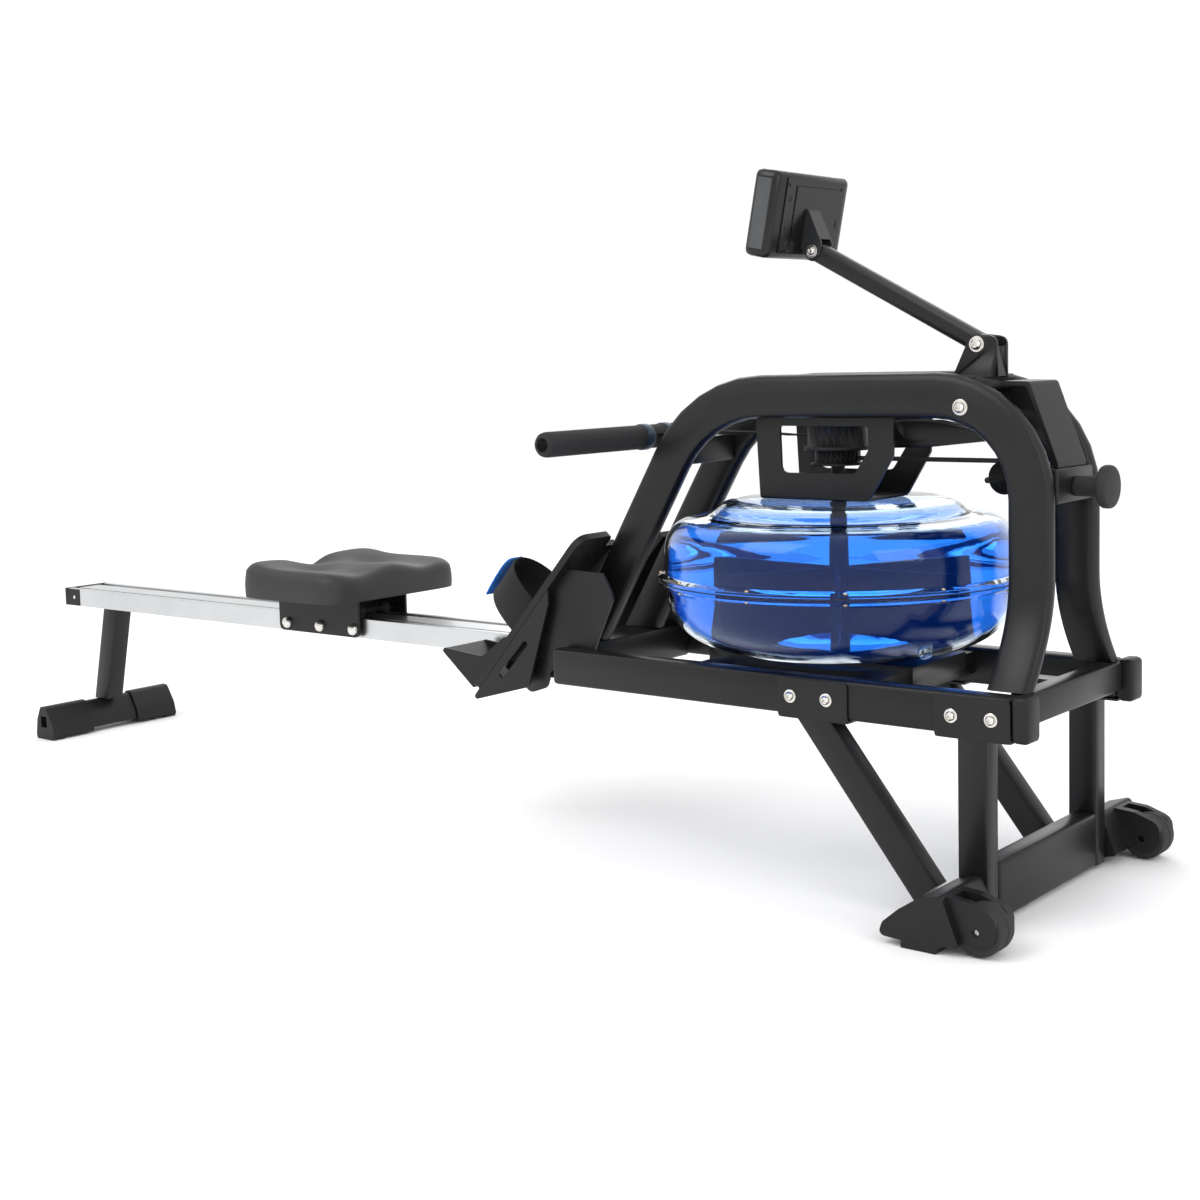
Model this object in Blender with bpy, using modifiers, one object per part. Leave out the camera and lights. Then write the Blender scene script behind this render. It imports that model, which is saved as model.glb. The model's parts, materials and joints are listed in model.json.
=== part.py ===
"""A water-resistance rowing machine: steel frame, water tank, seat on an aluminium rail, console on an arm.

Metres. +X runs from the rear foot towards the tank and the wheels, +Z is up, and the origin is on the floor,
midway along the machine. The right-hand pieces are on the -Y side, and the left-hand pieces on the +Y side.
"""

import math

import bmesh
import bpy
from mathutils import Matrix, Vector

# Driving dimensions
DATUM_X = 0.984  # distances named BACK, REAR or FRONT are measured back from here
GAP = 0.0003  # clearance between pieces that touch

RAIL_OUTER_Y = 0.165  # outer faces of the two base rails
RAIL_WIDTH = 0.030
RAIL_HEIGHT = 0.050
RAIL_TOP_Z = 0.279
RAIL_REAR = 0.700
RAIL_FRONT = 0.012
CAP_FRONT = -0.011

HOOP_OUTER_Y = 0.077
HOOP_DEPTH = 0.026  # across the machine
HOOP_WIDTH = 0.056  # in the hoop's own plane
HOOP_TOP_Z = 0.650
HOOP_FRONT = 0.005
HOOP_FRONT_BEND = 0.152  # outer radii of the two bends
HOOP_REAR_BEND = 0.200
HOOP_REAR_SLOPE = math.radians(59.3)
HOOP_CORNER = 0.525  # where the top and the rear leg's outer lines meet
HOOP_SPREAD = 0.058  # how far a front leg moves outwards on its way down
HOOP_SPREAD_TOP_Z = 0.400

TANK_BACK = 0.337
TANK_RADIUS = 0.231
TANK_FLOOR_Z = 0.2845
TANK_SEAM_Z = 0.384
TANK_TOP_Z = 0.487
TANK_WALL = 0.004

BAR_HEIGHT = 0.032  # the aluminium seat rail
BAR_WIDTH = 0.090
BAR_TOP_Z = 0.268
BAR_REAR = 2.010
BAR_FRONT = 0.7455

SEAT_BACK = 1.2755
SEAT_LENGTH = 0.235
CARRIAGE_BACK = (1.390, 1.200)
SEAT_WIDTH = 0.296
SEAT_UNDER_Z = 0.303
SEAT_RIM_Z = 0.352

FOOT_ANGLE = math.radians(48.5)
FOOT_LENGTH = 0.300
FOOT_WIDTH = 0.098
FOOT_INNER_Y = 0.053
FOOT_LOW_BACK = 0.860
FOOT_LOW_Z = 0.212

WHEEL_BACK = 0.010
WHEEL_RADIUS = 0.029
WHEEL_Y = 0.236
WHEEL_Z = 0.030

HANDLE_BACK = 0.640
HANDLE_Z = 0.565
HANDLE_LENGTH = 0.484

ARM_LOW = (0.128, 0.683)  # pivots of the console arm: how far back, and height
ARM_HIGH = (0.364, 0.809)
ARM_WIDTH = 0.022
CONSOLE_BACK = 0.394  # the console's middle
CONSOLE_Z = 0.857
CONSOLE_SIZE = (0.038, 0.176, 0.112)
CONSOLE_TILT = math.radians(11.5)

for startup_object in list(bpy.data.objects):
    bpy.data.objects.remove(startup_object, do_unlink=True)


def collection(name):
    made = bpy.data.collections.new(name)
    bpy.context.scene.collection.children.link(made)
    return made


MACHINE = collection("rowing_machine")
CUTTERS = collection("cutters")
CUTTERS.hide_render = True


def material(name, colour, roughness, metallic=0.0, alpha=1.0):
    made = bpy.data.materials.new(name)
    made.use_nodes = True
    shader = made.node_tree.nodes["Principled BSDF"]
    shader.inputs["Base Color"].default_value = (*colour, 1.0)
    shader.inputs["Roughness"].default_value = roughness
    shader.inputs["Metallic"].default_value = metallic
    shader.inputs["Alpha"].default_value = alpha
    return made


STEEL = material("frame_paint", (0.035, 0.035, 0.034), 0.45)
PLASTIC = material("black_plastic", (0.02, 0.02, 0.021), 0.5)
ALUMINIUM = material("aluminium", (0.75, 0.75, 0.76), 0.3, 1.0)
CHROME = material("bright_metal", (0.8, 0.8, 0.8), 0.15, 1.0)
RUBBER = material("rubber", (0.015, 0.015, 0.015), 0.8)
FOAM = material("foam_grip", (0.018, 0.018, 0.02), 0.85)
SEAT_SKIN = material("seat_skin", (0.05, 0.05, 0.052), 0.6)
CLEAR = material("clear_tank", (0.85, 0.92, 0.97), 0.05, 0.0, 0.3)
WATER = material("blue_water", (0.02, 0.25, 0.85), 0.05, 0.0, 0.7)
WEBBING = material("webbing", (0.015, 0.015, 0.015), 0.8)
SCREEN = material("screen_glass", (0.02, 0.03, 0.03), 0.1)


def fx(back):
    """The x of a point this far back from the datum."""
    return DATUM_X - back


def place(obj, name, look, where=MACHINE):
    """Names an object, gives it its material and moves it to its collection."""
    obj.name = name
    obj.data.name = name
    obj.data.materials.clear()
    if look:
        obj.data.materials.append(look)
    for old in list(obj.users_collection):
        old.objects.unlink(obj)
    where.objects.link(obj)
    return obj


def as_cutter(obj):
    obj.hide_render = True
    obj.display_type = "WIRE"
    for old in list(obj.users_collection):
        old.objects.unlink(obj)
    CUTTERS.objects.link(obj)
    return obj


def bevel(obj, width, segments=2, angle=40):
    mod = obj.modifiers.new("rounded", "BEVEL")
    mod.width = width
    mod.segments = segments
    mod.limit_method = "ANGLE"
    mod.angle_limit = math.radians(angle)
    return obj


def smooth(obj, angle=35):
    obj.data.shade_smooth()
    obj.data.set_sharp_from_angle(angle=math.radians(angle))
    return obj


def box(name, low, high, look, round_by=0.0):
    """A box between two corners, with rounded edges."""
    size = Vector(high) - Vector(low)
    middle = (Vector(high) + Vector(low)) / 2
    bpy.ops.mesh.primitive_cube_add(size=1, location=middle)
    obj = bpy.context.object
    obj.data.transform(Matrix.Diagonal((*size, 1)))
    place(obj, name, look)
    if round_by:
        bevel(obj, round_by)
    return obj


def rounded_rectangle(width, height, radius, steps=3):
    """Points of a rounded rectangle round the origin, anticlockwise."""
    points = []
    for quarter, (sx, sy) in enumerate(((1, 1), (-1, 1), (-1, -1), (1, -1))):
        for step in range(steps):
            angle = math.radians(90 * quarter + 90 * step / (steps - 1))
            points.append(
                (
                    sx * (width / 2 - radius) + radius * math.cos(angle),
                    sy * (height / 2 - radius) + radius * math.sin(angle),
                )
            )
    return points


def rounded_outline(corners, steps=4):
    """A closed outline from (x, z, radius) corners, each turned by an arc."""
    points = []
    count = len(corners)
    for i, (x, z, radius) in enumerate(corners):
        here = Vector((x, z))
        before = (Vector(corners[i - 1][:2]) - here).normalized()
        after = (Vector(corners[(i + 1) % count][:2]) - here).normalized()
        if not radius:
            points.append(tuple(here))
            continue
        half = before.angle(after) / 2
        reach = radius / math.tan(half)
        centre = here + (before + after).normalized() * (radius / math.sin(half))
        start = here + before * reach - centre
        turn = start.angle_signed(here + after * reach - centre)
        for step in range(steps):
            angle = turn * step / (steps - 1)
            arm = Matrix.Rotation(-angle, 2) @ start
            points.append(tuple(centre + arm))
    return points


def flat_curve(outlines):
    """A filled 2D curve of one outline and any holes."""
    data = bpy.data.curves.new("outline", "CURVE")
    data.dimensions = "2D"
    data.fill_mode = "BOTH"
    for outline in outlines:
        spline = data.splines.new("POLY")
        spline.points.add(len(outline) - 1)
        for point, (x, y) in zip(spline.points, outline):
            point.co = (x, y, 0, 1)
        spline.use_cyclic_u = True
    return data


def as_mesh(obj, name, look):
    """A curve object made a welded mesh in its place."""
    bpy.context.view_layer.update()
    graph = bpy.context.evaluated_depsgraph_get()
    mesh = bpy.data.meshes.new_from_object(obj.evaluated_get(graph))
    cleaner = bmesh.new()
    cleaner.from_mesh(mesh)
    bmesh.ops.remove_doubles(cleaner, verts=cleaner.verts, dist=1e-6)
    cleaner.to_mesh(mesh)
    cleaner.free()
    made = bpy.data.objects.new(name, mesh)
    made.matrix_world = obj.matrix_world.copy()
    bpy.context.scene.collection.objects.link(made)
    bpy.data.objects.remove(obj, do_unlink=True)
    return place(made, name, look)


def extrusion(name, outlines, thickness, matrix, look):
    """A flat outline given a thickness, centred on its own plane, then placed by a matrix."""
    data = flat_curve(outlines)
    data.extrude = thickness / 2
    obj = bpy.data.objects.new(name, data)
    obj.matrix_world = matrix
    bpy.context.scene.collection.objects.link(obj)
    return as_mesh(obj, name, look)


def side_plate(name, outlines, y, thickness, look):
    """A plate standing along the machine: its outline's x and z, and its middle y."""
    matrix = Matrix.Translation((0, y, 0)) @ Matrix.Rotation(math.pi / 2, 4, "X")
    return extrusion(name, outlines, thickness, matrix, look)


def tube(name, start, end, width, depth, radius, look, across=(0, 1, 0)):
    """A rounded rectangular tube between two points. Its depth lies along the across direction."""
    start, end = Vector(start), Vector(end)
    along = (end - start).normalized()
    side = along.cross(Vector(across)).normalized()
    depth_way = side.cross(along)
    matrix = Matrix.Identity(4)
    for column, way in enumerate((side, -depth_way, along)):
        for row in range(3):
            matrix[row][column] = way[row]
    matrix.translation = (start + end) / 2
    if matrix.to_3x3().determinant() < 0:
        matrix = matrix @ Matrix.Diagonal((1, -1, 1, 1))
    section = rounded_rectangle(width, depth, radius)
    return extrusion(name, [section], (end - start).length, matrix, look)


def turned(name, profile, centre, look, axis="Z", steps=32, closed=False):
    """A turned shape from (radius, height) points that run down its outer side."""
    data = bpy.data.meshes.new(name)
    edges = [(i, i + 1) for i in range(len(profile) - 1)]
    if closed:
        edges.append((len(profile) - 1, 0))
    data.from_pydata([(r, 0, z) for r, z in profile], edges, [])
    obj = bpy.data.objects.new(name, data)
    obj.location = centre
    obj.rotation_euler = {
        "X": (0, math.pi / 2, 0),
        "Y": (math.pi / 2, 0, 0),
        "Z": (0, 0, 0),
    }[axis]
    place(obj, name, look)
    screw = obj.modifiers.new("turn", "SCREW")
    screw.steps = steps
    screw.render_steps = steps
    screw.use_merge_vertices = True
    screw.merge_threshold = 0.00001
    return obj


def disc_profile(radius, half, round_by):
    """The profile of a solid disc with rounded rims."""
    points = [(0, half)]
    for step in range(3):
        angle = math.pi / 2 * (1 - step / 2)
        points.append(
            (radius - round_by + round_by * math.cos(angle), half - round_by + round_by * math.sin(angle))
        )
    for step in range(3):
        angle = -math.pi / 2 * step / 2
        points.append(
            (radius - round_by + round_by * math.cos(angle), round_by - half + round_by * math.sin(angle))
        )
    points.append((0, -half))
    return points


def joined(obj, *others):
    """Unites other solids with this one."""
    for other in others:
        mod = obj.modifiers.new("join", "BOOLEAN")
        mod.operation = "UNION"
        mod.solver = "EXACT"
        mod.object = as_cutter(other)
    return obj


def cut(obj, *others):
    """Takes other solids away from this one."""
    for other in others:
        mod = obj.modifiers.new("cut", "BOOLEAN")
        mod.operation = "DIFFERENCE"
        mod.solver = "EXACT"
        mod.object = as_cutter(other)
    return obj


def cord(name, points, radius, look):
    """A round cord through points."""
    data = bpy.data.curves.new(name, "CURVE")
    data.dimensions = "3D"
    data.bevel_depth = radius
    data.bevel_resolution = 2
    data.use_fill_caps = True
    spline = data.splines.new("POLY")
    spline.points.add(len(points) - 1)
    for point, co in zip(spline.points, points):
        point.co = (*co, 1)
    obj = bpy.data.objects.new(name, data)
    bpy.context.scene.collection.objects.link(obj)
    return as_mesh(obj, name, look)


def band(name, path, thickness, width, y, look):
    """A flat strap that follows (x, z) points, with its width across the machine."""
    above, below = [], []
    for i, (x, z) in enumerate(path):
        before = Vector(path[max(i - 1, 0)])
        after = Vector(path[min(i + 1, len(path) - 1)])
        way = (after - before).normalized()
        normal = Vector((-way.y, way.x)) * thickness / 2
        above.append((x + normal.x, z + normal.y))
        below.append((x - normal.x, z - normal.y))
    return side_plate(name, [above + below[::-1]], y, width, look)


SIDES = (("right", -1), ("left", 1))


def base_frame():
    inner = RAIL_OUTER_Y - RAIL_WIDTH
    low = RAIL_TOP_Z - RAIL_HEIGHT
    for side, sign in SIDES:
        outer_y, inner_y = sign * RAIL_OUTER_Y, sign * inner
        box(
            f"base_rail_{side}",
            (fx(RAIL_REAR), min(outer_y, inner_y), low),
            (fx(RAIL_FRONT), max(outer_y, inner_y), RAIL_TOP_Z),
            STEEL,
            0.006,
        )
        grow = 0.0025
        box(
            f"rail_cap_{side}",
            (fx(RAIL_FRONT) + GAP, min(outer_y, inner_y) - grow, low - grow),
            (fx(CAP_FRONT), max(outer_y, inner_y) + grow, RAIL_TOP_Z + grow),
            PLASTIC,
            0.006,
        )
    reach = inner - 0.0025 - GAP
    tie = box(
        "front_cross_tube",
        (fx(0.030), -reach, 0.241),
        (fx(0.002), reach, RAIL_TOP_Z),
        STEEL,
        0.004,
    )
    joined(tie, box("cord_lug", (fx(0.090), -0.015, 0.262), (fx(0.024), 0.015, 0.275), STEEL, 0.002))
    reach = inner - 0.0040 - 2 * GAP
    box(
        "rear_cross_tube",
        (fx(0.7445), -reach, 0.229),
        (fx(0.6800), reach, RAIL_TOP_Z),
        STEEL,
        0.004,
    )


def tank_cradle():
    """Two cross bars between the base rails with a plate under the tank's middle."""
    reach = RAIL_OUTER_Y - RAIL_WIDTH - GAP
    bars = []
    for name, back in (("front", 0.230), ("rear", 0.460)):
        bars.append(
            box(
                f"cradle_bar_{name}",
                (fx(back + 0.020), -reach, 0.244),
                (fx(back - 0.020), reach, 0.274),
                STEEL,
            )
        )
    plate = box(
        "tank_cradle",
        (fx(0.500), -0.070, 0.262),
        (fx(0.190), 0.070, TANK_FLOOR_Z - GAP),
        STEEL,
    )
    joined(plate, *bars)


def hoop_path():
    """The hoop's middle line as (x, z, outward shift), from the rear foot over the top to the front foot."""
    half = HOOP_WIDTH / 2
    slope = HOOP_REAR_SLOPE
    path = []
    reach = HOOP_REAR_BEND * math.tan(slope / 2)
    rear_centre = (fx(HOOP_CORNER) + reach, HOOP_TOP_Z - HOOP_REAR_BEND)
    radius = HOOP_REAR_BEND - half
    on_leg = (
        rear_centre[0] - radius * math.sin(slope),
        rear_centre[1] + radius * math.cos(slope),
    )
    foot_z = RAIL_TOP_Z + GAP
    drop = on_leg[1] - foot_z
    path.append((on_leg[0] - drop / math.tan(slope), foot_z, 0.0))
    for step in range(7):
        angle = slope * (1 - step / 6)
        path.append(
            (
                rear_centre[0] - radius * math.sin(angle),
                rear_centre[1] + radius * math.cos(angle),
                0.0,
            )
        )
    front_centre = (fx(HOOP_FRONT) - HOOP_FRONT_BEND, HOOP_TOP_Z - HOOP_FRONT_BEND)
    radius = HOOP_FRONT_BEND - half
    for step in range(9):
        angle = math.pi / 2 * step / 8
        path.append(
            (
                front_centre[0] + radius * math.sin(angle),
                front_centre[1] + radius * math.cos(angle),
                0.0,
            )
        )
    top = path[-1]
    drop = HOOP_SPREAD_TOP_Z - foot_z
    for step in range(11):
        share = step / 10
        path.append((top[0], HOOP_SPREAD_TOP_Z - drop * share, HOOP_SPREAD * share**1.8))
    return path


def hoops():
    """Each hoop is a rounded rectangle carried along the path, its depth staying across the machine."""
    path = hoop_path()
    section = rounded_rectangle(HOOP_WIDTH, HOOP_DEPTH, 0.010)
    count = len(section)
    for side, sign in SIDES:
        mesh = bmesh.new()
        rings = []
        for i, (x, z, shift) in enumerate(path):
            before = Vector(path[max(i - 1, 0)][:2])
            after = Vector(path[min(i + 1, len(path) - 1)][:2])
            way = (after - before).normalized()
            out = Vector((-way.y, way.x))
            if i in (0, len(path) - 1):
                out = Vector((-1 if i == 0 else 1, 0)) / abs(way.y)
            middle_y = HOOP_OUTER_Y - HOOP_DEPTH / 2 + shift
            rings.append(
                [
                    mesh.verts.new((x + out.x * a, sign * (middle_y + b), z + out.y * a))
                    for a, b in section
                ]
            )
        for ring, after in zip(rings, rings[1:]):
            for k in range(count):
                mesh.faces.new((ring[k], ring[(k + 1) % count], after[(k + 1) % count], after[k]))
        mesh.faces.new(rings[0])
        mesh.faces.new(rings[-1])
        bmesh.ops.recalc_face_normals(mesh, faces=mesh.faces)
        data = bpy.data.meshes.new(f"hoop_{side}")
        mesh.to_mesh(data)
        mesh.free()
        obj = bpy.data.objects.new(f"hoop_{side}", data)
        bpy.context.scene.collection.objects.link(obj)
        smooth(place(obj, f"hoop_{side}", STEEL))


def between_hoops():
    """The pieces that tie the two hoops together."""
    reach = HOOP_OUTER_Y - HOOP_DEPTH - GAP
    box(
        "handle_rest",
        (fx(0.556), -reach, 0.530),
        (fx(0.536), reach, 0.566),
        STEEL,
        0.002,
    )
    box(
        "hoop_cross_member",
        (fx(0.046), -reach, 0.492),
        (fx(0.006), reach, 0.534),
        STEEL,
        0.003,
    )
    stem = [(0, 0.018), (0.0125, 0.018), (0.0125, -0.018 + GAP), (0, -0.018 + GAP)]
    disc = turned(
        "bumper",
        disc_profile(0.026, 0.007, 0.004),
        (fx(-0.034), 0, 0.511),
        RUBBER,
        "X",
        24,
    )
    joined(disc, turned("bumper_stem", stem, (fx(-0.012), 0, 0.511), RUBBER, "X", 24))
    smooth(disc)
    cover = [
        (fx(0.084), 0.6385, 0.0),
        (fx(0.047), 0.6375, 0.006),
        (fx(0.0105), 0.5400, 0.003),
        (fx(0.0105), 0.5343, 0.0),
        (fx(0.0160), 0.5343, 0.0),
        (fx(0.0160), 0.5410, 0.003),
        (fx(0.0510), 0.6320, 0.004),
        (fx(0.084), 0.6330, 0.0),
    ]
    smooth(side_plate("front_cover", [rounded_outline(cover)], 0, 2 * 0.040, PLASTIC))


def stand():
    """The front stand: legs and struts in saddles on the base rails, and a tube across the floor."""
    rail_middle = RAIL_OUTER_Y - RAIL_WIDTH / 2
    middle = rail_middle + 0.003
    under = RAIL_TOP_Z - RAIL_HEIGHT - GAP
    legs = (
        ("leg", 0.0595, 0.0595, 0.006, 0.0485),
        ("strut", 0.2765, 0.1225, 0.032, 0.050),
    )
    for side, sign in SIDES:
        outer = sign * (RAIL_OUTER_Y + GAP)
        for kind, top_back, low_back, low_z, half in legs:
            rear, front = fx(top_back + half), fx(top_back - half)
            saddle = [
                (rear, under - 0.003, 0.004),
                (front, under - 0.003, 0.004),
                (front, RAIL_TOP_Z - 0.003, 0.005),
                (rear, RAIL_TOP_Z - 0.003, 0.005),
            ]
            cheek = side_plate(
                f"stand_{kind}_{side}",
                [rounded_outline(saddle, 3)],
                outer + sign * 0.0015,
                0.003,
                STEEL,
            )
            sole = box(
                f"{kind}_sole_{side}",
                (rear, sign * rail_middle - RAIL_WIDTH / 2, under - 0.003),
                (front, sign * rail_middle + RAIL_WIDTH / 2, under),
                STEEL,
            )
            sole.data.transform(Matrix.Translation((0, sign * 0.0015, 0)))
            low = Vector((fx(low_back), sign * middle, low_z))
            top = Vector((fx(top_back), sign * middle, under - 0.001))
            if kind == "strut":
                top += (top - low).normalized() * 0.05
            bar = tube(f"{kind}_bar_{side}", top, low, 0.040, 0.030, 0.005, STEEL)
            if kind == "strut":
                above = box(
                    f"{kind}_above_{side}",
                    (fx(top_back + 0.2), sign * middle - 0.04, under - 0.0005),
                    (fx(top_back - 0.2), sign * middle + 0.04, under + 0.2),
                    None,
                )
                beside = box(
                    f"{kind}_beside_{side}",
                    (fx(0.0795) - GAP, sign * middle - 0.04, -0.1),
                    (fx(0.0795) + 0.2, sign * middle + 0.04, 0.3),
                    None,
                )
                cut(bar, above, beside)
            joined(cheek, sole, bar)
            smooth(cheek)
    reach = middle - 0.015 - GAP
    box(
        "stand_cross_tube",
        (fx(0.069), -reach, 0.006),
        (fx(0.039), reach, 0.077),
        STEEL,
        0.005,
    )


def front_feet():
    """A casing outside each leg: a tapered body on a pad, and a fork that carries the wheel."""
    body_outline = [
        (fx(0.129), 0.010, 0.006),
        (fx(0.123), 0.026, 0.012),
        (fx(0.102), 0.044, 0.020),
        (fx(0.078), 0.060, 0.020),
        (fx(0.048), 0.069, 0.006),
        (fx(0.026), 0.014, 0.003),
        (fx(0.051), 0.0085, 0.002),
        (fx(0.055), 0.0, 0.0),
        (fx(0.099), 0.0, 0.0),
        (fx(0.099), 0.0085, 0.0),
    ]
    fork_outline = [
        (fx(0.060), 0.016, 0.003),
        (fx(0.060), 0.067, 0.004),
        (fx(0.020), 0.064, 0.012),
        (fx(-0.015), 0.052, 0.016),
        (fx(-0.015), 0.014, 0.018),
        (fx(0.010), 0.013, 0.006),
        (fx(0.024), 0.016, 0.003),
    ]
    inner = RAIL_OUTER_Y + 0.0036
    for side, sign in SIDES:
        body = side_plate(
            f"foot_casing_{side}",
            [rounded_outline(body_outline)],
            sign * (inner + 0.268) / 2,
            0.268 - inner,
            PLASTIC,
        )
        fork = side_plate(
            f"casing_fork_{side}",
            [rounded_outline(fork_outline)],
            sign * (0.212 + 0.2585) / 2,
            0.2585 - 0.212,
            PLASTIC,
        )
        joined(body, fork)
        slot = box(
            f"wheel_slot_{side}",
            (fx(0.0415), sign * WHEEL_Y - 0.0115, -0.01),
            (fx(-0.040), sign * WHEEL_Y + 0.0115, 0.090),
            None,
        )
        hole = turned(
            f"axle_hole_{side}",
            [(0, 0.040), (0.0043, 0.040), (0.0043, -0.040), (0, -0.040)],
            (fx(WHEEL_BACK), sign * WHEEL_Y, WHEEL_Z),
            None,
            "Y",
            16,
        )
        cut(body, slot, hole)
        smooth(body)
        profile = [
            (0, 0.0200),
            (0.0040, 0.0200),
            (0.0040, 0.0100),
            (0.0250, 0.0100),
            (0.0278, 0.0088),
            (WHEEL_RADIUS, 0.0060),
            (WHEEL_RADIUS, -0.0060),
            (0.0278, -0.0088),
            (0.0250, -0.0100),
            (0.0040, -0.0100),
            (0.0040, -0.0200),
            (0, -0.0200),
        ]
        smooth(
            turned(
                f"transport_wheel_{side}",
                profile,
                (fx(WHEEL_BACK), sign * WHEEL_Y, WHEEL_Z),
                RUBBER,
                "Y",
                32,
            )
        )


def seat_rail():
    """An aluminium extrusion with two grooves along its top, on the rear post and foot."""
    half = BAR_WIDTH / 2
    low = BAR_TOP_Z - BAR_HEIGHT
    section = [
        (-half, low),
        (half, low),
        (half, BAR_TOP_Z),
        (0.034, BAR_TOP_Z),
        (0.034, BAR_TOP_Z - 0.006),
        (0.022, BAR_TOP_Z - 0.006),
        (0.022, BAR_TOP_Z - 0.001),
        (-0.022, BAR_TOP_Z - 0.001),
        (-0.022, BAR_TOP_Z - 0.006),
        (-0.034, BAR_TOP_Z - 0.006),
        (-0.034, BAR_TOP_Z),
        (-half, BAR_TOP_Z),
    ]
    rear, front = fx(BAR_REAR - 0.012), fx(BAR_FRONT)
    matrix = Matrix(
        (
            (0, 0, 1, (rear + front) / 2),
            (1, 0, 0, 0),
            (0, 1, 0, 0),
            (0, 0, 0, 1),
        )
    )
    extrusion("seat_rail", [section], front - rear - GAP, matrix, ALUMINIUM)
    box(
        "seat_rail_cap",
        (fx(BAR_REAR), -half, low),
        (rear - GAP, half, BAR_TOP_Z),
        PLASTIC,
        0.001,
    )
    post = tube(
        "rear_post",
        (fx(1.905), 0, low + 0.02),
        (fx(1.956), 0, 0.040),
        0.040,
        0.036,
        0.004,
        STEEL,
    )
    above = box(
        "post_above",
        (fx(2.05), -0.05, low - GAP),
        (fx(1.80), 0.05, low + 0.1),
        None,
    )
    below = box(
        "post_below",
        (fx(2.05), -0.05, 0.0),
        (fx(1.80), 0.05, 0.0575),
        None,
    )
    cut(post, above, below)
    smooth(post)


def rear_foot():
    """A foot across the floor, its ridge set back, with a plastic shoe on each end."""
    body = [
        (fx(1.979), 0.008, 0.003),
        (fx(1.935), 0.008, 0.003),
        (fx(1.939), 0.026, 0.030),
        (fx(1.957), 0.057, 0.008),
        (fx(1.968), 0.057, 0.005),
        (fx(1.977), 0.036, 0.012),
    ]
    shoe = [
        (fx(1.983), 0.0, 0.002),
        (fx(1.933), 0.0, 0.002),
        (fx(1.930), 0.008, 0.003),
        (fx(1.935), 0.028, 0.030),
        (fx(1.955), 0.060, 0.010),
        (fx(1.970), 0.060, 0.006),
        (fx(1.981), 0.036, 0.014),
        (fx(1.985), 0.008, 0.003),
    ]
    smooth(side_plate("rear_foot", [rounded_outline(body)], 0, 2 * 0.050, STEEL))
    for side, sign in SIDES:
        name = f"rear_foot_shoe_{side}"
        inner, outer = 0.0503, 0.138
        cover = side_plate(
            name, [rounded_outline(shoe)], sign * (inner + outer) / 2, outer - inner, PLASTIC
        )
        recess = box(
            f"shoe_recess_{side}",
            (fx(1.970), sign * outer - 0.010, 0.022),
            (fx(1.952), sign * outer + 0.010, 0.042),
            None,
        )
        relief = box(
            f"shoe_relief_{side}",
            (fx(2.0), sign * 0.080 - 0.033, -0.01),
            (fx(1.9), sign * 0.080 + 0.033, 0.004),
            None,
        )
        cut(cover, recess, relief)
        smooth(cover)


def seat():
    """A carriage whose cheeks hang beside the rail, two rollers, and a moulded seat."""
    half = BAR_WIDTH / 2
    thick = 0.004
    inner = half + 0.006
    cheek = [
        (fx(CARRIAGE_BACK[0]), 0.238, 0.009),
        (fx(CARRIAGE_BACK[1]), 0.238, 0.009),
        (fx(CARRIAGE_BACK[1]), SEAT_UNDER_Z - GAP, 0.0),
        (fx(CARRIAGE_BACK[0]), SEAT_UNDER_Z - GAP, 0.0),
    ]
    deck = box(
        "seat_carriage",
        (fx(CARRIAGE_BACK[0]), -inner - thick, SEAT_UNDER_Z - 0.005),
        (fx(CARRIAGE_BACK[1]), inner + thick, SEAT_UNDER_Z - GAP),
        STEEL,
    )
    for side, sign in SIDES:
        plate = side_plate(
            f"carriage_cheek_{side}",
            [rounded_outline(cheek, 3)],
            sign * (inner + thick / 2),
            thick,
            STEEL,
        )
        joined(deck, plate)
    for end, back in (("front", CARRIAGE_BACK[1] + 0.030), ("rear", CARRIAGE_BACK[0] - 0.030)):
        radius = 0.0135
        rise = BAR_TOP_Z - 0.006 + GAP + radius
        profile = [
            (0, inner - GAP),
            (0.004, inner - GAP),
            (0.004, 0.033),
            (radius, 0.033),
            (radius, 0.023),
            (0.004, 0.023),
            (0.004, -0.023),
            (radius, -0.023),
            (radius, -0.033),
            (0.004, -0.033),
            (0.004, -inner + GAP),
            (0, -inner + GAP),
        ]
        smooth(turned(f"seat_roller_{end}", profile, (fx(back), 0, rise), RUBBER, "Y", 20))
    seat_pad()


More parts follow.
